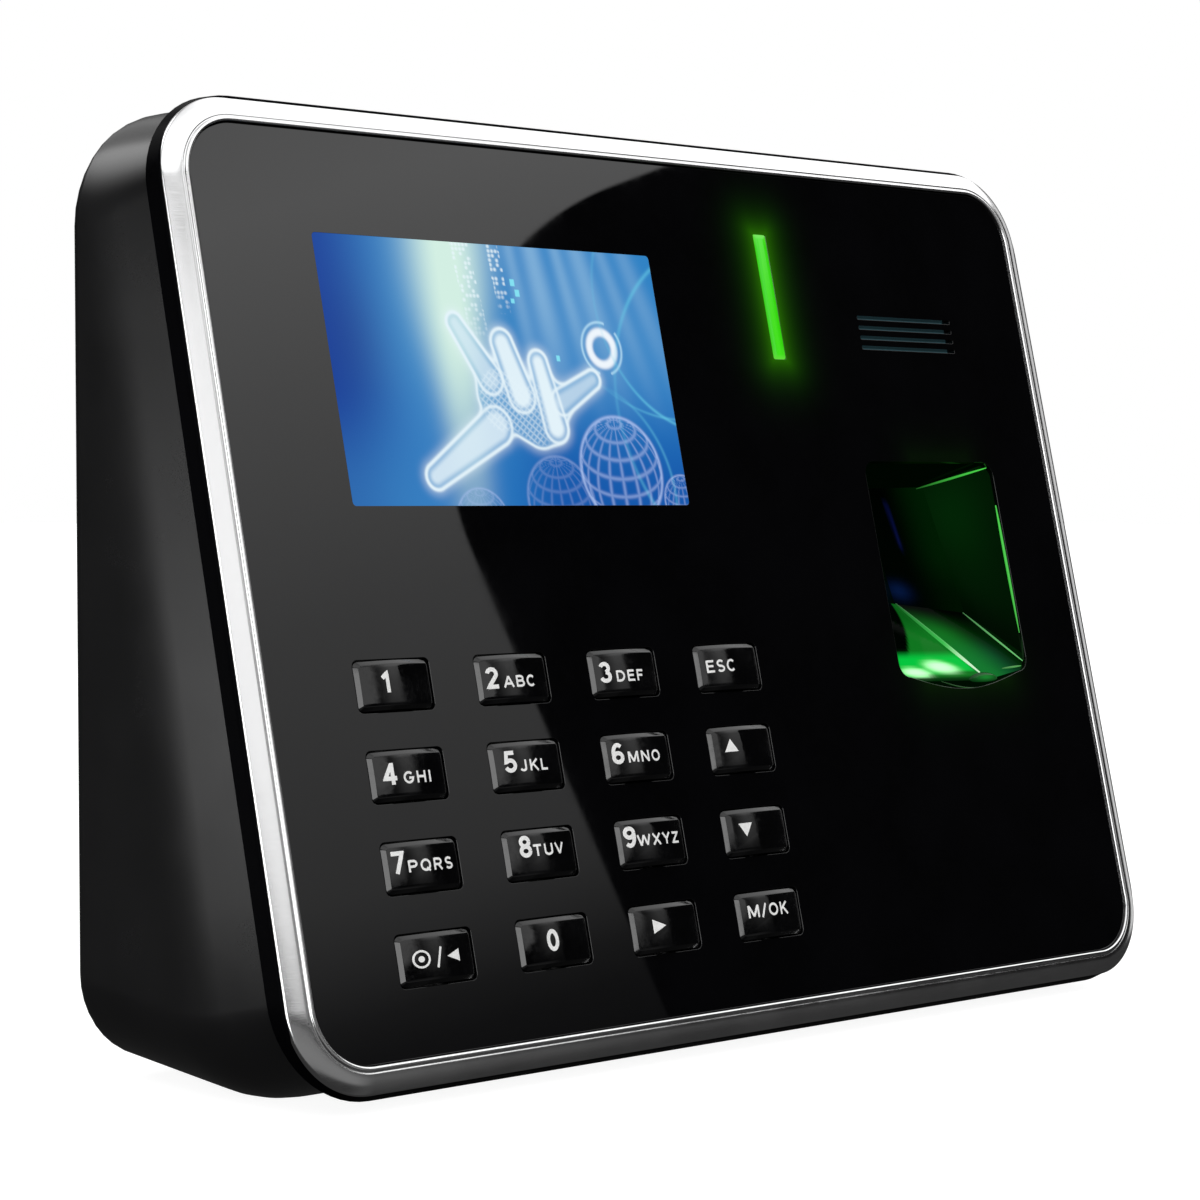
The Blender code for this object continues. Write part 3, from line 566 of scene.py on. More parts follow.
def make_ring():
    """Trim ring: a closed profile, with a round bead at its inner edge, a groove and a wide convex bevel,
    carried round the panel's edge."""
    turn = np.linspace(0, np.pi, 9)
    bead = np.column_stack([0.31 - 0.31 * np.cos(turn), 0.22 + 0.18 * np.sin(turn)])
    across = np.linspace(0.0, 1.0, 22)
    bevel = np.column_stack([0.92 + 2.66 * across, 0.1 - 1.02 * across ** 1.75])
    round_off = np.array([(3.66, -1.0), (3.71, -1.1), (3.73, -1.3), (3.73, -1.55), (0.0, -1.55)])
    profile = np.vstack([bead, [(0.66, 0.13), (0.74, 0.07), (0.84, 0.07)], bevel, round_off])
    rings = stacked(profile * [-1, 1], (-86.35, 86.35, -64.5, 64.5), 8.6, arc=28, straight=10)
    piece("trim_ring_satin", skin(rings, wrap=True), "terminal", ring_satin, sharp=50,
          replaces=["trim_ring"])


def make_panel():
    """Gloss sheet with a rounded edge, and an opening for the screen, light bar, slots, reader and each key."""
    rows = [(0.0, -1.5), (0.0, -0.16), (0.04, -0.05), (0.16, 0.0)]
    rings = stacked(rows, (-86.2, 86.2, -64.35, 64.35), 8.4, arc=20)
    cuts = [flared(screen_edge, 0.02), flared(reader_edge, 0.07)]
    cuts += [flared(lambda g, x=x, y=y: key_edge(x, y, g)) for x, y in key_places()] + [flared(light_edge)]
    for i in range(4):
        low = SLOTS[2] + SLOT_MARGIN + i * SLOT_PITCH - SLOT_WIDTH / 2
        cuts.append(flared(lambda g, low=low: grown((*SLOTS[:2], low, low + SLOT_WIDTH), g, 0.25 + g, arc=4)))
    piece("gloss_panel", skin(rings), "terminal", lacquer("panel_gloss_black"),
          [("DIFFERENCE", several(*cuts))], sharp=10, replaces=["front_panel"], uv=PANEL_MAP)


# ---------------------------------------------------------------- display

def capsule(x, y, x0, y0, x1, y1, r0, r1):
    """Signed distance to a tapering capsule: below zero inside."""
    dx, dy = x1 - x0, y1 - y0
    t = np.clip(((x - x0) * dx + (y - y0) * dy) / (dx * dx + dy * dy), 0, 1)
    return np.hypot(x - x0 - t * dx, y - y0 - t * dy) - (r0 + (r1 - r0) * t)


def wire_ball(x, y, x0, y0, r):
    """Globe of thin lines: latitude and longitude of a ball seen square on, brightest on its rim."""
    px, py = (x - x0) / r, (y - y0) / r
    reach = np.hypot(px, py)
    pz = np.sqrt(np.clip(1 - reach ** 2, 0, 1))
    a = 0.5
    qy, qz = py * math.cos(a) - pz * math.sin(a), py * math.sin(a) + pz * math.cos(a)
    latitude = np.arcsin(np.clip(qy, -1, 1)) / (np.pi / 9)
    longitude = np.arctan2(px, qz) / (np.pi / 9)
    thin = lambda v, w: np.exp(-((v - np.round(v)) / w) ** 2)
    lines = np.maximum(thin(latitude, 0.11), thin(longitude, 0.11)) * (reach < 1)
    return 0.55 * lines + 0.9 * np.exp(-((reach - 1) / 0.03) ** 2)


def picture(x, y):
    """Screen picture as a colour at each place, x and y from 0 to 1 with y down: a blue ground, a pale beam,
    light streaks, strings of small marks, a ring, wire globes, and an open hand built of capsules."""
    tall = (SCREEN[3] - SCREEN[2]) / (SCREEN[1] - SCREEN[0])
    yy = y * tall
    deep, mid, sky = np.array([0.0, 0.035, 0.30]), np.array([0.004, 0.13, 0.47]), np.array([0.06, 0.34, 0.66])

    def lay(shade, share):
        """Lay a shade over what is there, by share."""
        nonlocal colour
        colour = colour + (np.asarray(shade) - colour) * share[..., None]

    colour = deep * np.ones(x.shape + (3,))
    lay(mid, soft(x, -0.02, 0.26) * 0.85 + 0.1)
    lay(deep * 0.9, 0.75 * gauss(x, y, 0.05, 0.40, 0.11, 0.26))
    lay(sky, 0.45 * soft(x, 0.3, 0.75) * (1 - 0.55 * soft(y, 0.3, 1.0)))
    lay(deep * 1.1, 0.55 * soft(y, 0.45, 1.0) * soft(x, 0.42, 0.62))
    lay(sky, 0.30 * soft(y, 0.55, 1.0) * (1 - soft(x, 0.1, 0.36)))
    middle = 0.372 - 0.03 * y
    width = 0.105 - 0.045 * soft(y, 0, 0.75)
    beam = np.exp(-(np.abs(x - middle) / width) ** 2.4) * (1 - 0.72 * soft(y, 0.28, 1.0))
    halo = np.exp(-((x - middle + 0.03) / 0.19) ** 2) * (1 - 0.7 * soft(y, 0.2, 1.0)) * 0.42
    lay((0.16, 0.55, 0.78), np.clip(halo, 0, 1))
    lay((0.66, 0.87, 0.76), np.clip(beam, 0, 0.96))
    for x0, lean, w, s in ((0.56, 0.05, 0.018, 0.35), (0.625, 0.07, 0.03, 0.5), (0.70, 0.1, 0.02, 0.4),
                           (0.765, 0.13, 0.032, 0.42), (0.84, 0.17, 0.022, 0.3), (0.91, 0.2, 0.028, 0.25)):
        ray = np.exp(-((x - x0 - lean * y) / (w * (1 + y))) ** 2) * s * (1 - soft(y, 0.15, 0.78))
        lay((0.36, 0.60, 0.80), ray)

    rng = np.random.default_rng(7)
    cell = 0.0105
    for x0, x1, low, high, lean in ((0.385, 0.44, 0.0, 0.36, 0.06), (0.492, 0.528, 0.0, 0.27, 0.04)):
        column, row = np.floor(x / cell).astype(int), np.floor(yy / cell).astype(int)
        dots = rng.random((400, 400))
        inside = (x > x0 + lean * y) & (x < x1 + lean * y) & (y > low) & (y < high)
        lit = (dots[column % 400, row % 400] > 0.42) & inside
        u, v = x / cell - column - 0.5, yy / cell - row - 0.5
        mark = lit * np.exp(-(np.hypot(u, v) / 0.42) ** 4) * (1 - 0.7 * soft(y, high * 0.5, high))
        lay((0.80, 0.92, 0.97), 0.8 * mark)
    for x0, y0, w in ((0.556, 0.145, 0.011), (0.566, 0.185, 0.012), (0.549, 0.215, 0.009), (0.659, 0.432, 0.009)):
        mark = (np.abs(x - x0) < w / 2 * 1.1) & (np.abs(yy - y0 * tall) < w / 2 * 1.3)
        lay((0.25, 0.85, 0.95), 0.8 * mark)

    # Ring with a broken outer ring
    reach, turn = np.hypot(x - 0.80, yy - 0.385 * tall), np.arctan2(yy - 0.385 * tall, x - 0.80)
    lay((0.9, 0.95, 1.0), 0.95 * np.exp(-((reach - 0.038) / 0.0105) ** 4))
    outer = np.exp(-((reach - 0.061) / 0.003) ** 2) * (np.sin(turn * 2.5 + 0.8) > -0.75)
    lay((0.5, 0.78, 0.95), 0.8 * outer)
    for x0, y0, r, w, s in ((1.10, 0.20, 0.30, 0.004, 0.5), (1.22, 0.62, 0.40, 0.005, 0.45),
                            (0.70, 0.95, 0.26, 0.004, 0.3), (1.02, -0.05, 0.42, 0.003, 0.35)):
        arc = np.exp(-((np.hypot(x - x0, yy - y0 * tall) - r) / w) ** 2) * soft(x, 0.72, 0.95)
        lay((0.15, 0.65, 0.85), s * arc)

    for x0, y0, r, s in ((0.80, 0.865, 0.125, 0.8), (0.985, 0.985, 0.062, 0.75), (0.36, 1.06, 0.075, 0.5),
                         (0.60, 0.98, 0.10, 0.35)):
        lay((0.42, 0.55, 0.88), s * np.clip(wire_ball(x, yy, x0, y0 * tall, r), 0, 1))

    # Hand: palm and five capsules, a pale rim, a milky inside and a fine net over the palm
    parts = [(0.365, 0.31, 0.445, 0.52, 0.026, 0.038), (0.495, 0.38, 0.53, 0.58, 0.035, 0.042),
             (0.595, 0.45, 0.62, 0.70, 0.031, 0.038), (0.755, 0.51, 0.65, 0.60, 0.026, 0.034),
             (0.245, 0.89, 0.44, 0.70, 0.032, 0.048)]
    palm = np.minimum(capsule(x, yy, 0.465, 0.58 * tall, 0.57, 0.68 * tall, 0.068, 0.062),
                      capsule(x, yy, 0.46, 0.64 * tall, 0.62, 0.60 * tall, 0.055, 0.05))
    fingers = [capsule(x, yy, a, b * tall, c, d * tall, r0, r1) for a, b, c, d, r0, r1 in parts]
    whole = palm
    for one in fingers:
        k = 0.02
        h = np.clip(0.5 + 0.5 * (one - whole) / k, 0, 1)
        whole = one + (whole - one) * h - k * h * (1 - h)
    inside = soft(-whole, -0.002, 0.004)
    pale = np.array([0.78, 0.90, 0.96])
    lay((0.25, 0.52, 0.76), 0.5 * inside)
    for one, strength in zip(fingers, (0.55, 0.95, 0.98, 0.5, 0.75)):
        core = soft(-one, 0.004, 0.024)
        edge = np.exp(-((one + 0.003) / 0.0045) ** 2)
        lay(pale, np.clip(0.9 * edge * inside + strength * core, 0, 1))
    net = np.maximum(np.exp(-((np.mod((x + yy) * 62, 1) - 0.5) / 0.16) ** 2),
                     np.exp(-((np.mod((x * 0.8 - yy) * 58, 1) - 0.5) / 0.16) ** 2))
    lay(pale, 0.5 * net * soft(-palm, 0.004, 0.014) * (1 - soft(x, 0.56, 0.62)))
    lay(pale, 0.95 * np.exp(-((whole + 0.002) / 0.004) ** 2))
    lay(pale, 0.25 * np.exp(-(np.maximum(whole, 0) / 0.014) ** 2) * (whole > 0))
    return np.clip(colour, 0, 1)


def make_display():
    """Lit screen: a grid just under the face that carries the picture, closed by a rim and a back."""
    left, right, low, high = SCREEN
    columns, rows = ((381, 226))
    u, v = np.meshgrid(np.linspace(0, 1, columns), np.linspace(0, 1, rows))
    grow = 0.08
    across, up = left - grow + (right - left + 2 * grow) * u, high + grow - (high - low + 2 * grow) * v
    face = np.column_stack([across.ravel(), up.ravel(), np.full(u.size, -0.03)])
    order = np.arange(u.size).reshape(rows, columns)
    rim = np.concatenate([order[0, :-1], order[:-1, -1], order[-1, :0:-1], order[:0:-1, 0]])
    back = face[rim] - [0, 0, 1.2]
    start = u.size
    side = np.stack([rim, np.roll(rim, -1), start + (np.arange(len(rim)) + 1) % len(rim),
                     start + np.arange(len(rim))], -1)
    faces = quads(rows, columns, wrap_columns=False).tolist() + side.tolist()
    faces.append(list(range(start, start + len(rim))))
    points = on_panel(np.vstack([face, back]))
    made = piece("lit_screen", (points, faces), "terminal",
                 glowing("screen_picture", "picture", 0.05, 0.08), replaces=["display_window", "display_cell"])
    shades = np.zeros((len(points), 3))
    shades[:start] = picture(u, v).reshape(-1, 3)
    paint(made.data, "picture", shades)


# ---------------------------------------------------------------- keypad

def key_top(x, y):
    """Height of a cap's top: a parabola across it, and a slight one up it."""
    return KEY_RISE - KEY_SAG * (x / 6.15) ** 2 - 0.05 * (y / 3.0) ** 2


def key_cap(x, y):
    """Cap as nested rounded outlines: flange, wall, slanted border, then the crowned top closing on its middle."""
    def ring(inset, corner=0.75):
        return grown(key_box(), -inset, max(corner - inset * 0.7, 0.12), arc=5, straight=8)

    rings = [level(ring(-1.0, 1.0), -4.8), level(ring(-1.0, 1.0), -4.05), level(ring(0), -4.05)]
    outer = ring(0)
    rings += [level(outer, key_top(outer[:, 0], outer[:, 1]) - 0.46)]
    for inset, drop in ((0.03, 0.44), (0.48, 0.055), (0.55, 0.015), (0.64, 0.0)):
        edge = ring(inset)
        rings.append(level(edge, key_top(edge[:, 0], edge[:, 1]) - drop))
    inner = ring(0.64)
    for share in (0.85, 0.65, 0.45, 0.25, 0.1):
        edge = inner * [share, share]
        rings.append(level(edge, key_top(edge[:, 0], edge[:, 1])))
    points, faces = skin(rings)
    return on_panel(points + [x, y, 0]), faces


def bow(x, y, w, h, start, end):
    """Run of points along an ellipse, angles in degrees."""
    turn = np.radians(np.linspace(start, end, 3 + int(abs(end - start) / 15)))
    return [(x + w * math.cos(t), y + h * math.sin(t)) for t in turn]


# Pen runs of each figure and letter, one unit tall: width, then the runs
STEM = [(0.1, 0), (0.1, 1)]
LOOP_P = [(0.1, 0.92), (0.36, 0.92)] + bow(0.38, 0.69, 0.2, 0.23, 90, -90) + [(0.1, 0.46)]
RING_O = bow(0.39, 0.5, 0.3, 0.42, 0, 360)
GLYPHS = {
    "0": (0.62, bow(0.31, 0.5, 0.22, 0.42, 0, 360)), "1": (0.5, [(0.08, 0.68), (0.31, 0.9), (0.31, 0)]),
    "2": (0.6, bow(0.29, 0.7, 0.2, 0.22, 170, -35) + [(0.09, 0.08), (0.55, 0.08)]),
    "3": (0.6, bow(0.28, 0.715, 0.19, 0.205, 160, -80), bow(0.29, 0.295, 0.21, 0.215, 85, -165)),
    "4": (0.62, [(0.42, 0), (0.42, 1)], [(0.4, 0.93), (0.08, 0.29), (0.6, 0.29)]),
    "5": (0.6, [(0.52, 0.92), (0.17, 0.92), (0.12, 0.5)] + bow(0.3, 0.32, 0.22, 0.24, 130, -160)),
    "6": (0.6, bow(0.31, 0.3, 0.21, 0.22, 0, 360), bow(0.335, 0.48, 0.235, 0.44, 50, 195)),
    "7": (0.58, [(0.05, 0.92), (0.52, 0.92), (0.22, 0)]),
    "8": (0.6, bow(0.3, 0.72, 0.185, 0.2, 0, 360), bow(0.3, 0.29, 0.21, 0.21, 0, 360)),
    "9": (0.6, bow(0.29, 0.7, 0.21, 0.22, 0, 360), bow(0.265, 0.52, 0.235, 0.44, -130, 15)),
    "A": (0.72, [(0.04, 0), (0.36, 0.96)], [(0.68, 0), (0.36, 0.96)], [(0.17, 0.32), (0.55, 0.32)]),
    "B": (0.66, STEM, [(0.1, 0.92), (0.34, 0.92)] + bow(0.36, 0.72, 0.19, 0.2, 90, -90) + [(0.1, 0.52)],
          [(0.1, 0.52), (0.37, 0.52)] + bow(0.39, 0.3, 0.21, 0.22, 90, -90) + [(0.1, 0.08)]),
    "C": (0.7, bow(0.38, 0.5, 0.29, 0.42, 45, 315)),
    "D": (0.7, STEM, [(0.1, 0.92), (0.28, 0.92)] + bow(0.3, 0.5, 0.31, 0.42, 90, -90) + [(0.1, 0.08)]),
    "E": (0.62, STEM, [(0.1, 0.92), (0.58, 0.92)], [(0.1, 0.52), (0.54, 0.52)], [(0.1, 0.08), (0.6, 0.08)]),
    "F": (0.6, STEM, [(0.1, 0.92), (0.56, 0.92)], [(0.1, 0.5), (0.5, 0.5)]),
    "G": (0.76, bow(0.38, 0.5, 0.29, 0.42, 45, 328) + [(0.66, 0.46), (0.4, 0.46)]),
    "H": (0.72, STEM, [(0.62, 0), (0.62, 1)], [(0.1, 0.52), (0.62, 0.52)]), "I": (0.26, [(0.13, 0), (0.13, 1)]),
    "J": (0.52, [(0.4, 1), (0.4, 0.3)] + bow(0.22, 0.26, 0.18, 0.18, 0, -170)),
    "K": (0.7, STEM, [(0.6, 1), (0.12, 0.4)], [(0.28, 0.58), (0.64, 0)]),
    "L": (0.58, [(0.1, 1), (0.1, 0.08), (0.55, 0.08)]),
    "M": (0.84, STEM, [(0.74, 0), (0.74, 1)], [(0.13, 0.95), (0.42, 0.1)], [(0.42, 0.1), (0.71, 0.95)]),
    "N": (0.72, STEM, [(0.62, 0), (0.62, 1)], [(0.12, 0.93), (0.6, 0.07)]), "O": (0.78, RING_O),
    "P": (0.66, STEM, LOOP_P), "Q": (0.78, RING_O, [(0.44, 0.26), (0.68, 0)]),
    "R": (0.7, STEM, LOOP_P, [(0.36, 0.46), (0.62, 0)]),
    "S": (0.66, bow(0.33, 0.71, 0.21, 0.215, 30, 265) + bow(0.34, 0.285, 0.23, 0.21, 85, -150)),
    "T": (0.62, [(0.02, 0.92), (0.6, 0.92)], [(0.31, 0), (0.31, 0.92)]),
    "U": (0.72, [(0.1, 1), (0.1, 0.34)] + bow(0.36, 0.33, 0.26, 0.25, 180, 360) + [(0.62, 1)]),
    "V": (0.68, [(0.04, 1), (0.34, 0.06)], [(0.34, 0.06), (0.64, 1)]),
    "W": (0.96, [(0.04, 1), (0.25, 0.05)], [(0.25, 0.05), (0.48, 0.95)], [(0.48, 0.95), (0.71, 0.05)],
          [(0.71, 0.05), (0.92, 1)]),
    "X": (0.68, [(0.06, 0), (0.62, 1)], [(0.06, 1), (0.62, 0)]),
    "Y": (0.66, [(0.04, 1), (0.33, 0.46)], [(0.62, 1), (0.33, 0.46)], [(0.33, 0), (0.33, 0.5)]),
    "Z": (0.64, [(0.06, 0.92), (0.56, 0.92), (0.07, 0.08), (0.6, 0.08)]), "/": (0.42, [(0.04, -0.05), (0.36, 1.05)]),
}


def penned(run, half):
    """Flat strip of even width along a run of points, its corners mitred."""
    run = np.asarray(run, float)
    run = run[np.append(True, np.linalg.norm(np.diff(run, axis=0), axis=1) > 1e-3)]
    # Short steps, so that the strip follows a crowned cap
    along = np.append(0, np.cumsum(np.linalg.norm(np.diff(run, axis=0), axis=1)))
    steps = np.unique(np.round(np.concatenate([along, np.arange(0.4, along[-1] - 0.1, 0.4)]), 5))
    steps = steps[np.append(True, np.diff(steps) > 2e-3)]
    run = np.column_stack([np.interp(steps, along, run[:, 0]), np.interp(steps, along, run[:, 1])])
    way = np.diff(run, axis=0)
    way /= np.linalg.norm(way, axis=1, keepdims=True)
    across = np.column_stack([-way[:, 1], way[:, 0]])
    mid = np.vstack([across[:1], across[:-1] + across[1:], across[-1:]])
    mid /= np.linalg.norm(mid, axis=1, keepdims=True)
    mid /= np.maximum((mid * np.vstack([across[:1], across])).sum(1, keepdims=True), 0.6)
    return np.vstack([run + mid * half, run - mid * half]), quads(2, len(run), wrap_columns=False).tolist()


def words(text, tall, x, foot, wide=1.0, half=0.2, gap=0.12):
    """Penned text as points and faces, its middle at x and its foot at that height: tall is its height, wide
    stretches the runs before they are thickened."""
    pen, strips = 0.0, []
    for sign in text:
        width, *runs = GLYPHS[sign]
        strips += [penned((np.array(run) + [pen, 0]) * [tall * wide, tall], half) for run in runs]
        pen += width + gap
    points, faces = several(*strips)
    return points + [x - (pen - gap) * tall * wide / 2, foot], faces


def arrow(x, y, w, h, way):
    """Small solid triangle: rows from its tip to its base, each going straight across, so that it follows a cap."""
    tip, start, end = {"up": [(0, 1), (-1, -1), (1, -1)], "down": [(0, -1), (-1, 1), (1, 1)],
                       "left": [(-1, 0), (1, -1), (1, 1)], "right": [(1, 0), (-1, -1), (-1, 1)]}[way]
    grid = np.meshgrid(np.linspace(0.03, 1, 8), np.linspace(0, 1, 8), indexing="ij")
    down, across = (a.reshape(-1, 1) for a in grid)
    base = np.array(start) + across * (np.array(end) - start)
    return (tip + down * (base - tip)) * [w / 2, h / 2] + [x, y], quads(8, 8, wrap_columns=False).tolist()


def band(x, y, outer, inner, squeeze=1.0, sides=40):
    """Flat ring."""
    ring = circle(sides) * [squeeze, 1]
    return np.vstack([ring * outer, ring * inner]) + [x, y], quads(2, sides).tolist()


def key_marks():
    """Marks of each key in order: figures and letters, arrows and the menu signs."""
    def figure(sign, x, foot):
        return words(sign, 2.95, x, foot, 1.2, 0.3)

    def pair(number, letters, x_number, x_letters, foot):
        return [figure(number, x_number, foot), words(letters, 1.62, x_letters, foot, 1.55, 0.165, 0.15)]

    return [
        [figure("1", -2.1, -1.1)], pair("2", "ABC", -4.4, 0.35, -1.3), pair("3", "DEF", -4.3, 0.25, -1.35),
        [words("ESC", 1.85, -2.3, -0.75, 1.4, 0.17)],
        pair("4", "GHI", -3.8, 0.8, -1.2), pair("5", "JKL", -3.7, 0.55, -0.8), pair("6", "MNO", -4.5, 0.5, -0.8),
        [arrow(-3.0, 0.6, 2.6, 1.95, "up")],
        pair("7", "PQRS", -4.7, 0.85, -0.75), pair("8", "TUV", -3.4, 0.75, -0.35),
        pair("9", "WXYZ", -4.7, 0.75, -0.5),
        [arrow(-2.8, 0.3, 2.6, 2.0, "down")],
        [band(-3.3, 0, 1.22, 0.94, 1.2), band(-3.3, 0, 0.42, 0.001, 1.2), words("/", 2.5, -0.3, -1.25, 1.1, 0.17),
         arrow(2.2, 0.0, 2.3, 1.7, "left")],
        [figure("0", -1.2, -1.2)], [arrow(-2.0, 0.3, 2.5, 2.05, "right")],
        [words("M/OK", 1.85, -0.9, -0.3, 1.45, 0.17)],
    ]


def make_keys():
    """Caps, each with its mark lying on its crown. Key bodies have the same names as the frame's keys."""
    for number, ((x, y), strips) in enumerate(zip(key_places(), key_marks()), 1):
        name = f"key_{number:02d}"
        piece(f"{name}_cap", key_cap(x, y), name, key_black, sharp=24, replaces=[name])
        points, faces = several(*strips)
        made = bpy.data.meshes.new(f"{name}_mark")
        # Each later run sits a hair higher, so that crossing runs don't share a plane
        order = np.linspace(0.012, 0.05, len(points))
        raised = level(points, key_top(points[:, 0], points[:, 1]) + order)
        made.from_pydata((on_panel(raised + [x, y, 0]) * MM).tolist(), [], faces)
        work = bmesh.new()
        work.from_mesh(made)
        bmesh.ops.remove_doubles(work, verts=work.verts, dist=1e-6)
        outward = PANEL_AXES[2].tolist()
        for face in work.faces:
            face.normal_update()
        bmesh.ops.reverse_faces(work, faces=[f for f in work.faces if f.normal.dot(outward) < 0])
        work.to_mesh(made)
        work.free()
        made.materials.append(legend_white_painted_glow)
        shown = show(f"{name}_mark", made)
        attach(shown, name)


# ---------------------------------------------------------------- light bar, grille and reader

def make_light_bar():
    """Lit strip: nested rounded outlines, the last ones closing to a low crown."""
    left, right, low, high = LIGHT
    rows = [(0.06, -5.6), (0.06, -0.08), (0.1, 0.0), (0.3, 0.05), (0.75, 0.09)]
    rings = [on_panel(level(grown(LIGHT, -inset, 0.3, arc=4, straight=12), height)) for inset, height in rows]
    made = piece("light_bar_lit", skin(rings), "terminal", glowing("bar_green", "glow", 0.2, 0.4),
                 replaces=["light_bar"])
    place = to_panel(points_of(made.data))
    up = (place[:, 1] - low) / (high - low)
    middle = np.exp(-((place[:, 0] - (left + right) / 2) / 0.9) ** 2)
    green = np.array([0.04, 0.76, 0.0]) * (0.78 + 0.22 * middle)[:, None]
    ends = np.maximum(soft(up, 0.94, 1.0), 1 - soft(up, 0.0, 0.05))[:, None]
    paint(made.data, "glow", green + (np.array([0.14, 0.72, 0.05]) - green) * ends * 0.8)


def make_grille():
    """Cloth behind the speaker's slots, with a faint painted teal glow."""
    piece("grille_cloth", plate(grown(SLOTS, 0.3, 0.4), -1.71, -1.53), "terminal", teal_cloth_painted_glow)


RIM = dict(tl=(39.9, 18.4, -0.6), tr=(72.5, 18.0, -0.45), br=(72.5, -14.8, -0.45), b2=(72.4, -16.9, -0.5),
           b1=(61.9, -18.45, -0.9), bl=(39.9, -18.0, -0.6), l=(39.9, -5.2, -0.6),
           s0=(39.9, -20.9, -0.8), s1=(61.0, -21.0, -0.8), s2=(72.4, -20.8, -0.8),
           dtl=(45.5, 14.8, -6.5), dtr=(61.4, 15.1, -6.5), d2=(65.1, -6.4, -5.5), d1=(48.1, -4.5, -5.5))
FACETS = [("window", "dtl", "dtr", "d2", "d1"), ("right", "dtr", "tr", "br", "d2"), ("ramp", "d1", "d2", "b2", "b1"),
          ("lower", "l", "d1", "b1", "bl"), ("left", "tl", "dtl", "d1", "l"), ("top", "tl", "tr", "dtr", "dtl"),
          ("heel", "d2", "br", "b2", "b2"), ("sill", "bl", "b1", "s1", "s0"), ("sill", "b1", "b2", "s2", "s1")]


def facet_painted_light(name, s, t):
    """Light painted into each face of the block, s along its first edge and t away from it: partly the reader's own
    green light, shaded face by face and darker towards some edges, and partly painted highlights and reflections.
    """
    green, lime, white = np.array([0.003, 0.10, 0.008]), np.array([0.002, 0.56, 0.05]), np.array([0.68, 0.95, 0.66])
    blue, teal = np.array([0.004, 0.006, 0.07]), np.array([0.004, 0.05, 0.03])
    s, t = s[:, None], t[:, None]
    none = np.zeros((len(s), 3))
    if name == "window":
        # Painted reflection: a blue stripe and a blue spot on the window face
        reflected_stripe = np.exp(-((s - 0.33 - 0.06 * t) / 0.022) ** 2) * soft(t, 0.08, 0.16) * (1 - soft(t, 0.45, 0.56))
        return (none + green * 0.10 * soft(s, 0.3, 1.0) * (1 - 0.6 * soft(t, 0.5, 0.9)) + blue * 0.55 * reflected_stripe
                + np.array([0.002, 0.010, 0.06]) * 0.7 * gauss(s, t, 0.12, 0.88, 0.16, 0.07))
    if name == "right":
        return none + green * (0.06 + 0.10 * gauss(s, t, 0.3, 0.25, 0.5, 0.35)) * (1 - 0.6 * soft(t, 0.7, 1.0))
    if name == "ramp":
        lit = soft(t, 0.0, 0.42) * (1 - 0.85 * soft(s, 0.15, 0.85)) * (1 - 0.55 * soft(s - t, -0.25, 0.6))
        return none + green * 1.55 * lit + teal * 0.5 * soft(t, 0.35, 0.8) * (1 - soft(s, 0.6, 1.0))
    if name == "lower":
        lean = soft(s - 0.62 * (1 - t), 0.0, 0.05)
        body = none + green * 1.75 * lean * (0.55 + 0.45 * soft(t, 0.1, 0.5))
        # Painted highlight: a lime band across the face
        band = soft(t, 0.60, 0.72) * soft(s, 0.02, 0.08) * (1 - soft(t + 0.08 * s * (s > 0.37), 0.925, 0.965))
        # Painted highlights: two white spots
        highlight_spots = np.zeros_like(s)
        for at, down, wide, tall in ((0.245, 0.885, 0.17, 0.055), (0.60, 0.82, 0.20, 0.075)):
            lie = (t - down) - 0.10 * (s - at)
            highlight_spots = highlight_spots + np.exp(-(((s - at) / wide) ** 2 + (lie / tall) ** 2) ** 2)
        # Painted shade: the face darkens at its far edge
        lit = np.clip(body * (1 - band) + lime * band, 0, 1) * (1 - 0.93 * soft(t, 0.94, 0.975))
        return lit + white * np.clip(highlight_spots, 0, 1)
    if name == "heel":
        return none + green * 0.10
    return none + green * (0.03 if name == "sill" else 0.012)


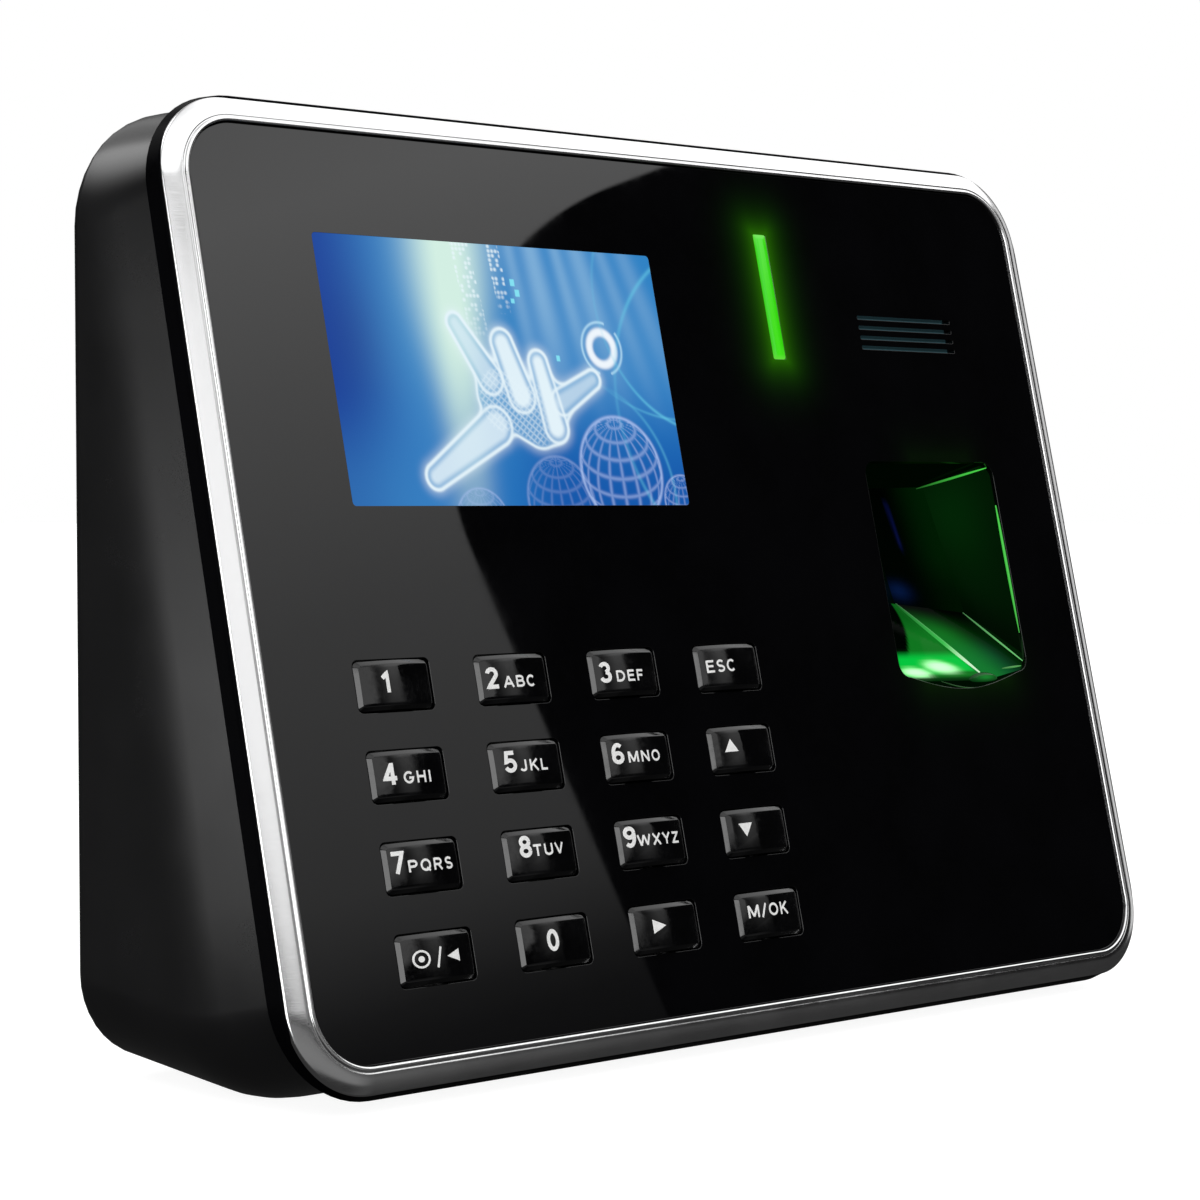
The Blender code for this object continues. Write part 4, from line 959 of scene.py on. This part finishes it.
def make_reader():
    """Clear block behind the opening: flat faces between named corners, each a grid of straight lines between its
    four corners, joined along their edges and closed by a wall and a back. Light, shade and highlights are painted
    into its faces."""
    steps = 28
    s, t = [a.ravel() for a in np.meshgrid(np.linspace(0, 1, steps + 1), np.linspace(0, 1, steps + 1))]
    points, faces, shades = [], [], []
    for name, *corners in FACETS:
        a, b, c, d = (np.array(RIM[k]) for k in corners)
        grid = (a * ((1 - s) * (1 - t))[:, None] + b * (s * (1 - t))[:, None] + c * (s * t)[:, None]
                + d * ((1 - s) * t)[:, None])
        faces += (quads(steps + 1, steps + 1, wrap_columns=False) + len(points) * len(s)).tolist()
        points.append(grid)
        shades.append(facet_painted_light(name, s, t))
    mesh = bpy.data.meshes.new("reader_block")
    mesh.from_pydata((on_panel(np.vstack(points)) * MM).tolist(), [], faces)
    paint(mesh, "glow", np.vstack(shades), "CORNER")
    work = bmesh.new()
    work.from_mesh(mesh)
    bmesh.ops.remove_doubles(work, verts=work.verts, dist=2e-6)
    bmesh.ops.dissolve_degenerate(work, edges=work.edges, dist=1e-7)
    rim = [e for e in work.edges if e.is_boundary]
    wall = bmesh.ops.extrude_edge_only(work, edges=rim)["geom"]
    outward, back = PANEL_AXES[2], -9.2
    for v in [v for v in wall if isinstance(v, bmesh.types.BMVert)]:
        height = (np.array(v.co) / MM - PANEL_MID) @ outward
        v.co = v.co + type(v.co)((outward * (back - height) * MM).tolist())
    bmesh.ops.contextual_create(work, geom=[e for e in work.edges if e.is_boundary])
    bmesh.ops.recalc_face_normals(work, faces=work.faces)
    work.to_mesh(mesh)
    work.free()
    glass = glowing("reader_glass", "glow", 0.05, 0.004, (0.0002, 0.0012, 0.0004))
    mesh.materials.append(glass)
    mesh.polygons.foreach_set("use_smooth", np.zeros(len(mesh.polygons), bool))
    made = show("reader_block", mesh)
    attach(made, "terminal")
    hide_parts("reader_well", "reader_prism")

    # Painted glints on the block's edges: round glowing strips that swell in the middle of their run. Each row is
    # start, end, radius, colour, how bright it is at each end, how far it sags and how white it gets towards its end.
    runs = [((71.4, 17.0, -0.6), (59.6, 14.8, -6.6), 0.19, (0.07, 0.72, 0.07), 1.0, 0.08, 0.0, 0.0),
            ((72.0, 10.6, -0.5), (72.15, -11.0, -0.45), 0.24, (0.08, 0.80, 0.08), 0.75, 0.55, 0.0, 0.0),
            ((64.5, -6.4, -5.3), (72.4, -16.1, -0.55), 0.15, (0.16, 0.60, 0.18), 0.35, 1.0, 0.0, 0.0),
            ((48.1, -4.5, -5.3), (60.9, -17.1, -1.1), 0.30, (0.06, 0.62, 0.10), 0.15, 1.3, 0.0, 0.85),
            ((66.2, -16.75, -0.6), (71.0, -16.5, -0.5), 0.16, (0.10, 0.42, 0.10), 0.5, 0.9, 0.0, 0.0),
            ((50.2, -18.3, -0.45), (66.2, -18.35, -0.45), 0.10, (0.02, 0.10, 0.02), 0.7, 0.9, 1.35, 0.0)]
    sides, along = 12, np.linspace(0, 1, 33)
    for number, (start, end, radius, colour, low, high, sag, white) in enumerate(runs, 1):
        start, end = np.array(start), np.array(end)
        line = start + (end - start) * along[:, None] - np.sin(np.pi * along)[:, None] * [0, sag, 0]
        swell = radius * (0.25 + 0.75 * np.sin(np.pi * np.clip(along, 0.02, 0.98)) ** 0.6)
        points, faces = turned(line, swell, sides, (0, 0, 1.0))
        made = piece(f"reader_edge_{number}", (on_panel(points), faces), "terminal",
                     glowing(f"edge_painted_glint_{number}", "glow", 0.2, 0.3))
        shade = np.array(colour) * np.clip(low + (high - low) * along, 0, 1.2)[:, None]
        # Painted highlight: some glints whiten towards their end
        shade += (np.array([0.72, 0.95, 0.70]) - shade) * soft(along, 0.55, 0.9)[:, None] * white
        paint(made.data, "glow", np.repeat(shade, sides, axis=0))

    # Small lens set in the sill: rings that bend down a little at both ends and close towards its top
    rings = []
    for a in np.linspace(0, np.pi / 2 * 0.96, 8):
        across, up = (circle(36) * [3.6, 0.8] * math.cos(a)).T
        outline = np.column_stack([61.3 + across, -17.95 + up - 0.02 * across ** 2])
        rings.append(on_panel(level(outline, -0.9 + 0.45 * math.sin(a))))
    made = piece("reader_lens", skin(rings), "terminal", glowing("lens_green", "glow", 0.05, 0.1))
    place = to_panel(points_of(made.data))
    shade = 0.05 + 0.45 * gauss(place[:, 0], place[:, 1], 61.6, -18.0, 2.4, 0.5)
    paint(made.data, "glow", np.array([0.02, 0.42, 0.05]) * shade[:, None])


# ---------------------------------------------------------------- pieces kept from the frame

KEPT = [
    (plated, "display_holder network_socket usb_socket"),
    (board_green, "light_board key_board reader_board main_board usb_board"),
    (inner_black, "speaker reader_light reader_carrier power_socket tamper_plunger tamper_switch"),
    (foam_black, "speaker_gasket"), (rubber_grey, "key_mat"), (battery_blue, "backup_battery"),
    (terminal_green, "wire_terminal"), (button_red, "reset_button"), (zinc, "wall_plate"),
    (screw_zinc, "lock_screw board_screw_1 board_screw_2 board_screw_3 board_screw_4"
                 " housing_screw_1 housing_screw_2 housing_screw_3 housing_screw_4"),
]


def dress_kept():
    """The finish of each piece that stays as the frame has it."""
    for material, names in KEPT:
        for node in [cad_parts[name] for name in names.split()]:
            for place in node.material_slots:
                place.material = material
            if not node.material_slots:
                node.data.materials.append(material)


# ---------------------------------------------------------------- floor, light and camera

def make_floor():
    """Wide pale sheet under the object. It gives some light of its own, so that it stays as pale as the
    ground behind it, and takes a soft shadow."""
    mesh = bpy.data.meshes.new("floor")
    low = min(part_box(n)[0].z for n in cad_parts)
    size = 6.0
    corners = [(-size, -size, low), (size, -size, low), (size, size, low), (-size, size, low)]
    mesh.from_pydata(corners, [], [(0, 1, 2, 3)])
    floor = show("floor", mesh)
    made = bpy.data.materials.new("pale_floor")
    made.use_nodes = True
    shader = made.node_tree.nodes["Principled BSDF"]
    shader.inputs["Base Color"].default_value = (0.34, 0.34, 0.34, 1)
    shader.inputs["Roughness"].default_value = 0.8
    shader.inputs["Specular IOR Level"].default_value = 0.0
    shader.inputs["Emission Color"].default_value = (1, 1, 1, 1)
    shader.inputs["Emission Strength"].default_value = 0.92
    mesh.materials.append(made)
    floor.visible_glossy = False
    floor.visible_diffuse = False


def make_light():
    """Light from all round, set by direction: bright soft boxes in front on the left, overhead and to the
    right, with dark gaps between, and an even white ground for what is seen directly."""
    world = bpy.data.worlds.new("studio")
    bpy.context.scene.world = world
    world.use_nodes = True
    n = Nodes(world.node_tree)
    world.node_tree.nodes.clear()
    split = n.add("ShaderNodeSeparateXYZ")
    n.join(n.add("ShaderNodeTexCoord").outputs["Generated"], split.inputs[0])
    x, y, z = split.outputs
    degrees = 180 / math.pi
    turn = n.math("MULTIPLY", n.math("ARCTAN2", x, n.math("MULTIPLY", y, -1.0)), degrees)
    rise = n.math("MULTIPLY", n.math("ARCSINE", z), degrees)

    def window(value, low, high, fade):
        up = n.ramp(value, low - fade / 2, low + fade / 2)
        down = n.ramp(value, high - fade / 2, high + fade / 2, 1.0, 0.0)
        return n.math("MULTIPLY", up, down)

    def soft_box(turns, rises, strength, fade, rise_fade=None):
        return n.many("MULTIPLY", window(turn, *turns, fade), window(rise, *rises, rise_fade or fade), strength)

    # Tall card that the panel mirrors: strength by height, a ramp on its left, a rounded inner corner
    curve = n.add("ShaderNodeValToRGB")
    stops = [(9.0, 0.03), (10.7, 0.085), (11.4, 0.15), (12.9, 0.43), (13.6, 0.54), (16.1, 0.68), (18.3, 0.81),
             (19.4, 0.93), (22.4, 1.27), (25.4, 1.7), (28.0, 1.6), (40.0, 1.45)]
    highest, strongest = 45.0, 2.0
    curve.color_ramp.interpolation = "LINEAR"
    while len(curve.color_ramp.elements) < len(stops):
        curve.color_ramp.elements.new(0.5)
    for element, (at, value) in zip(curve.color_ramp.elements, stops):
        element.position = at / highest
        element.color = (*[value / strongest] * 3, 1)
    n.feed(curve.inputs[0], n.math("DIVIDE", rise, highest))
    past_side = n.many("ADD", turn, -51.34, n.math("MULTIPLY", rise, 0.076))
    past_side = n.math("MINIMUM", past_side, 0.0)
    past_top = n.math("MINIMUM", n.math("SUBTRACT", 18.7, rise), 0.0)
    above = n.ramp(rise, 30.3, 31.5)
    card = n.many("MULTIPLY", curve.outputs[0], strongest, n.ramp(n.hypot(past_side, past_top), 5.16, 5.24),
                  n.ramp(turn, 114.0, 160.0, 1.0, 0.35), n.ramp(rise, 60.0, 85.0, 1.0, 0.6),
                  n.math("MAXIMUM", n.ramp(turn, 26.0, 39.5, 0.12, 1.0), above),
                  n.math("MAXIMUM", n.ramp(turn, 20.0, 26.0), above),
                  n.math("MAXIMUM", n.ramp(turn, -120.0, -60.0), 0.35))

    # Soft boxes: from and to, round and up, in degrees, then strength, width of the soft edge, and its
    # height where that differs
    boxes = [((-34.0, 25.0), (14.6, 28.8), 1.15, 3.0, 1.0), ((82.0, 108.0), (-8.0, 24.0), 0.66, 4.0),
             ((108.0, 176.0), (-12.0, 30.0), 0.08, 3.0), ((-68.0, -40.0), (-6.0, 24.0), 4.4, 5.0),
             ((-129.0, -84.0), (-5.0, 1.5), 3.4, 4.0, 3.0), ((-129.0, -84.0), (-5.5, 17.0), 0.42, 4.0),
             ((-160.0, -129.0), (-12.0, 22.0), 0.035, 6.0), ((-179.0, -134.0), (30.0, 70.0), 2.3, 12.0, 20.0),
             ((-70.0, 36.0), (-26.0, 6.0), 0.17, 16.0, 6.0)]
    under = n.ramp(rise, -8.0, -2.0, 0.035, 0.01)
    total = n.many("ADD", card, *[soft_box(*box) for box in boxes], under)
    seen = n.add("ShaderNodeLightPath").outputs["Is Camera Ray"]
    shown = n.add("ShaderNodeMix", data_type="FLOAT")
    n.join(seen, shown.inputs[0])
    n.join(total, shown.inputs[2])
    shown.inputs[3].default_value = 1.0
    ground = n.add("ShaderNodeBackground")
    n.join(shown.outputs[0], ground.inputs["Strength"])
    out = n.add("ShaderNodeOutputWorld")
    n.join(ground.outputs[0], out.inputs["Surface"])
    ground.inputs["Color"].default_value = (1, 1, 1, 1)


def make_camera():
    lens = bpy.data.cameras.new("camera")
    lens.lens, lens.sensor_width = 97.4927, 36.0
    lens.clip_start, lens.clip_end = 0.01, 50.0
    camera = show("camera", lens)
    camera.location = (-0.350502, -0.373648, 0.01432)
    camera.rotation_euler = [math.radians(a) for a in (88.05146, -0.09913, -44.07248)]
    bpy.context.scene.camera = camera
    bpy.context.scene.view_settings.view_transform = "Standard"


make_shell()
make_front_housing()
make_ring()
make_panel()
make_display()
make_keys()
make_light_bar()
make_grille()
make_reader()
dress_kept()
make_floor()
make_light()
make_camera()
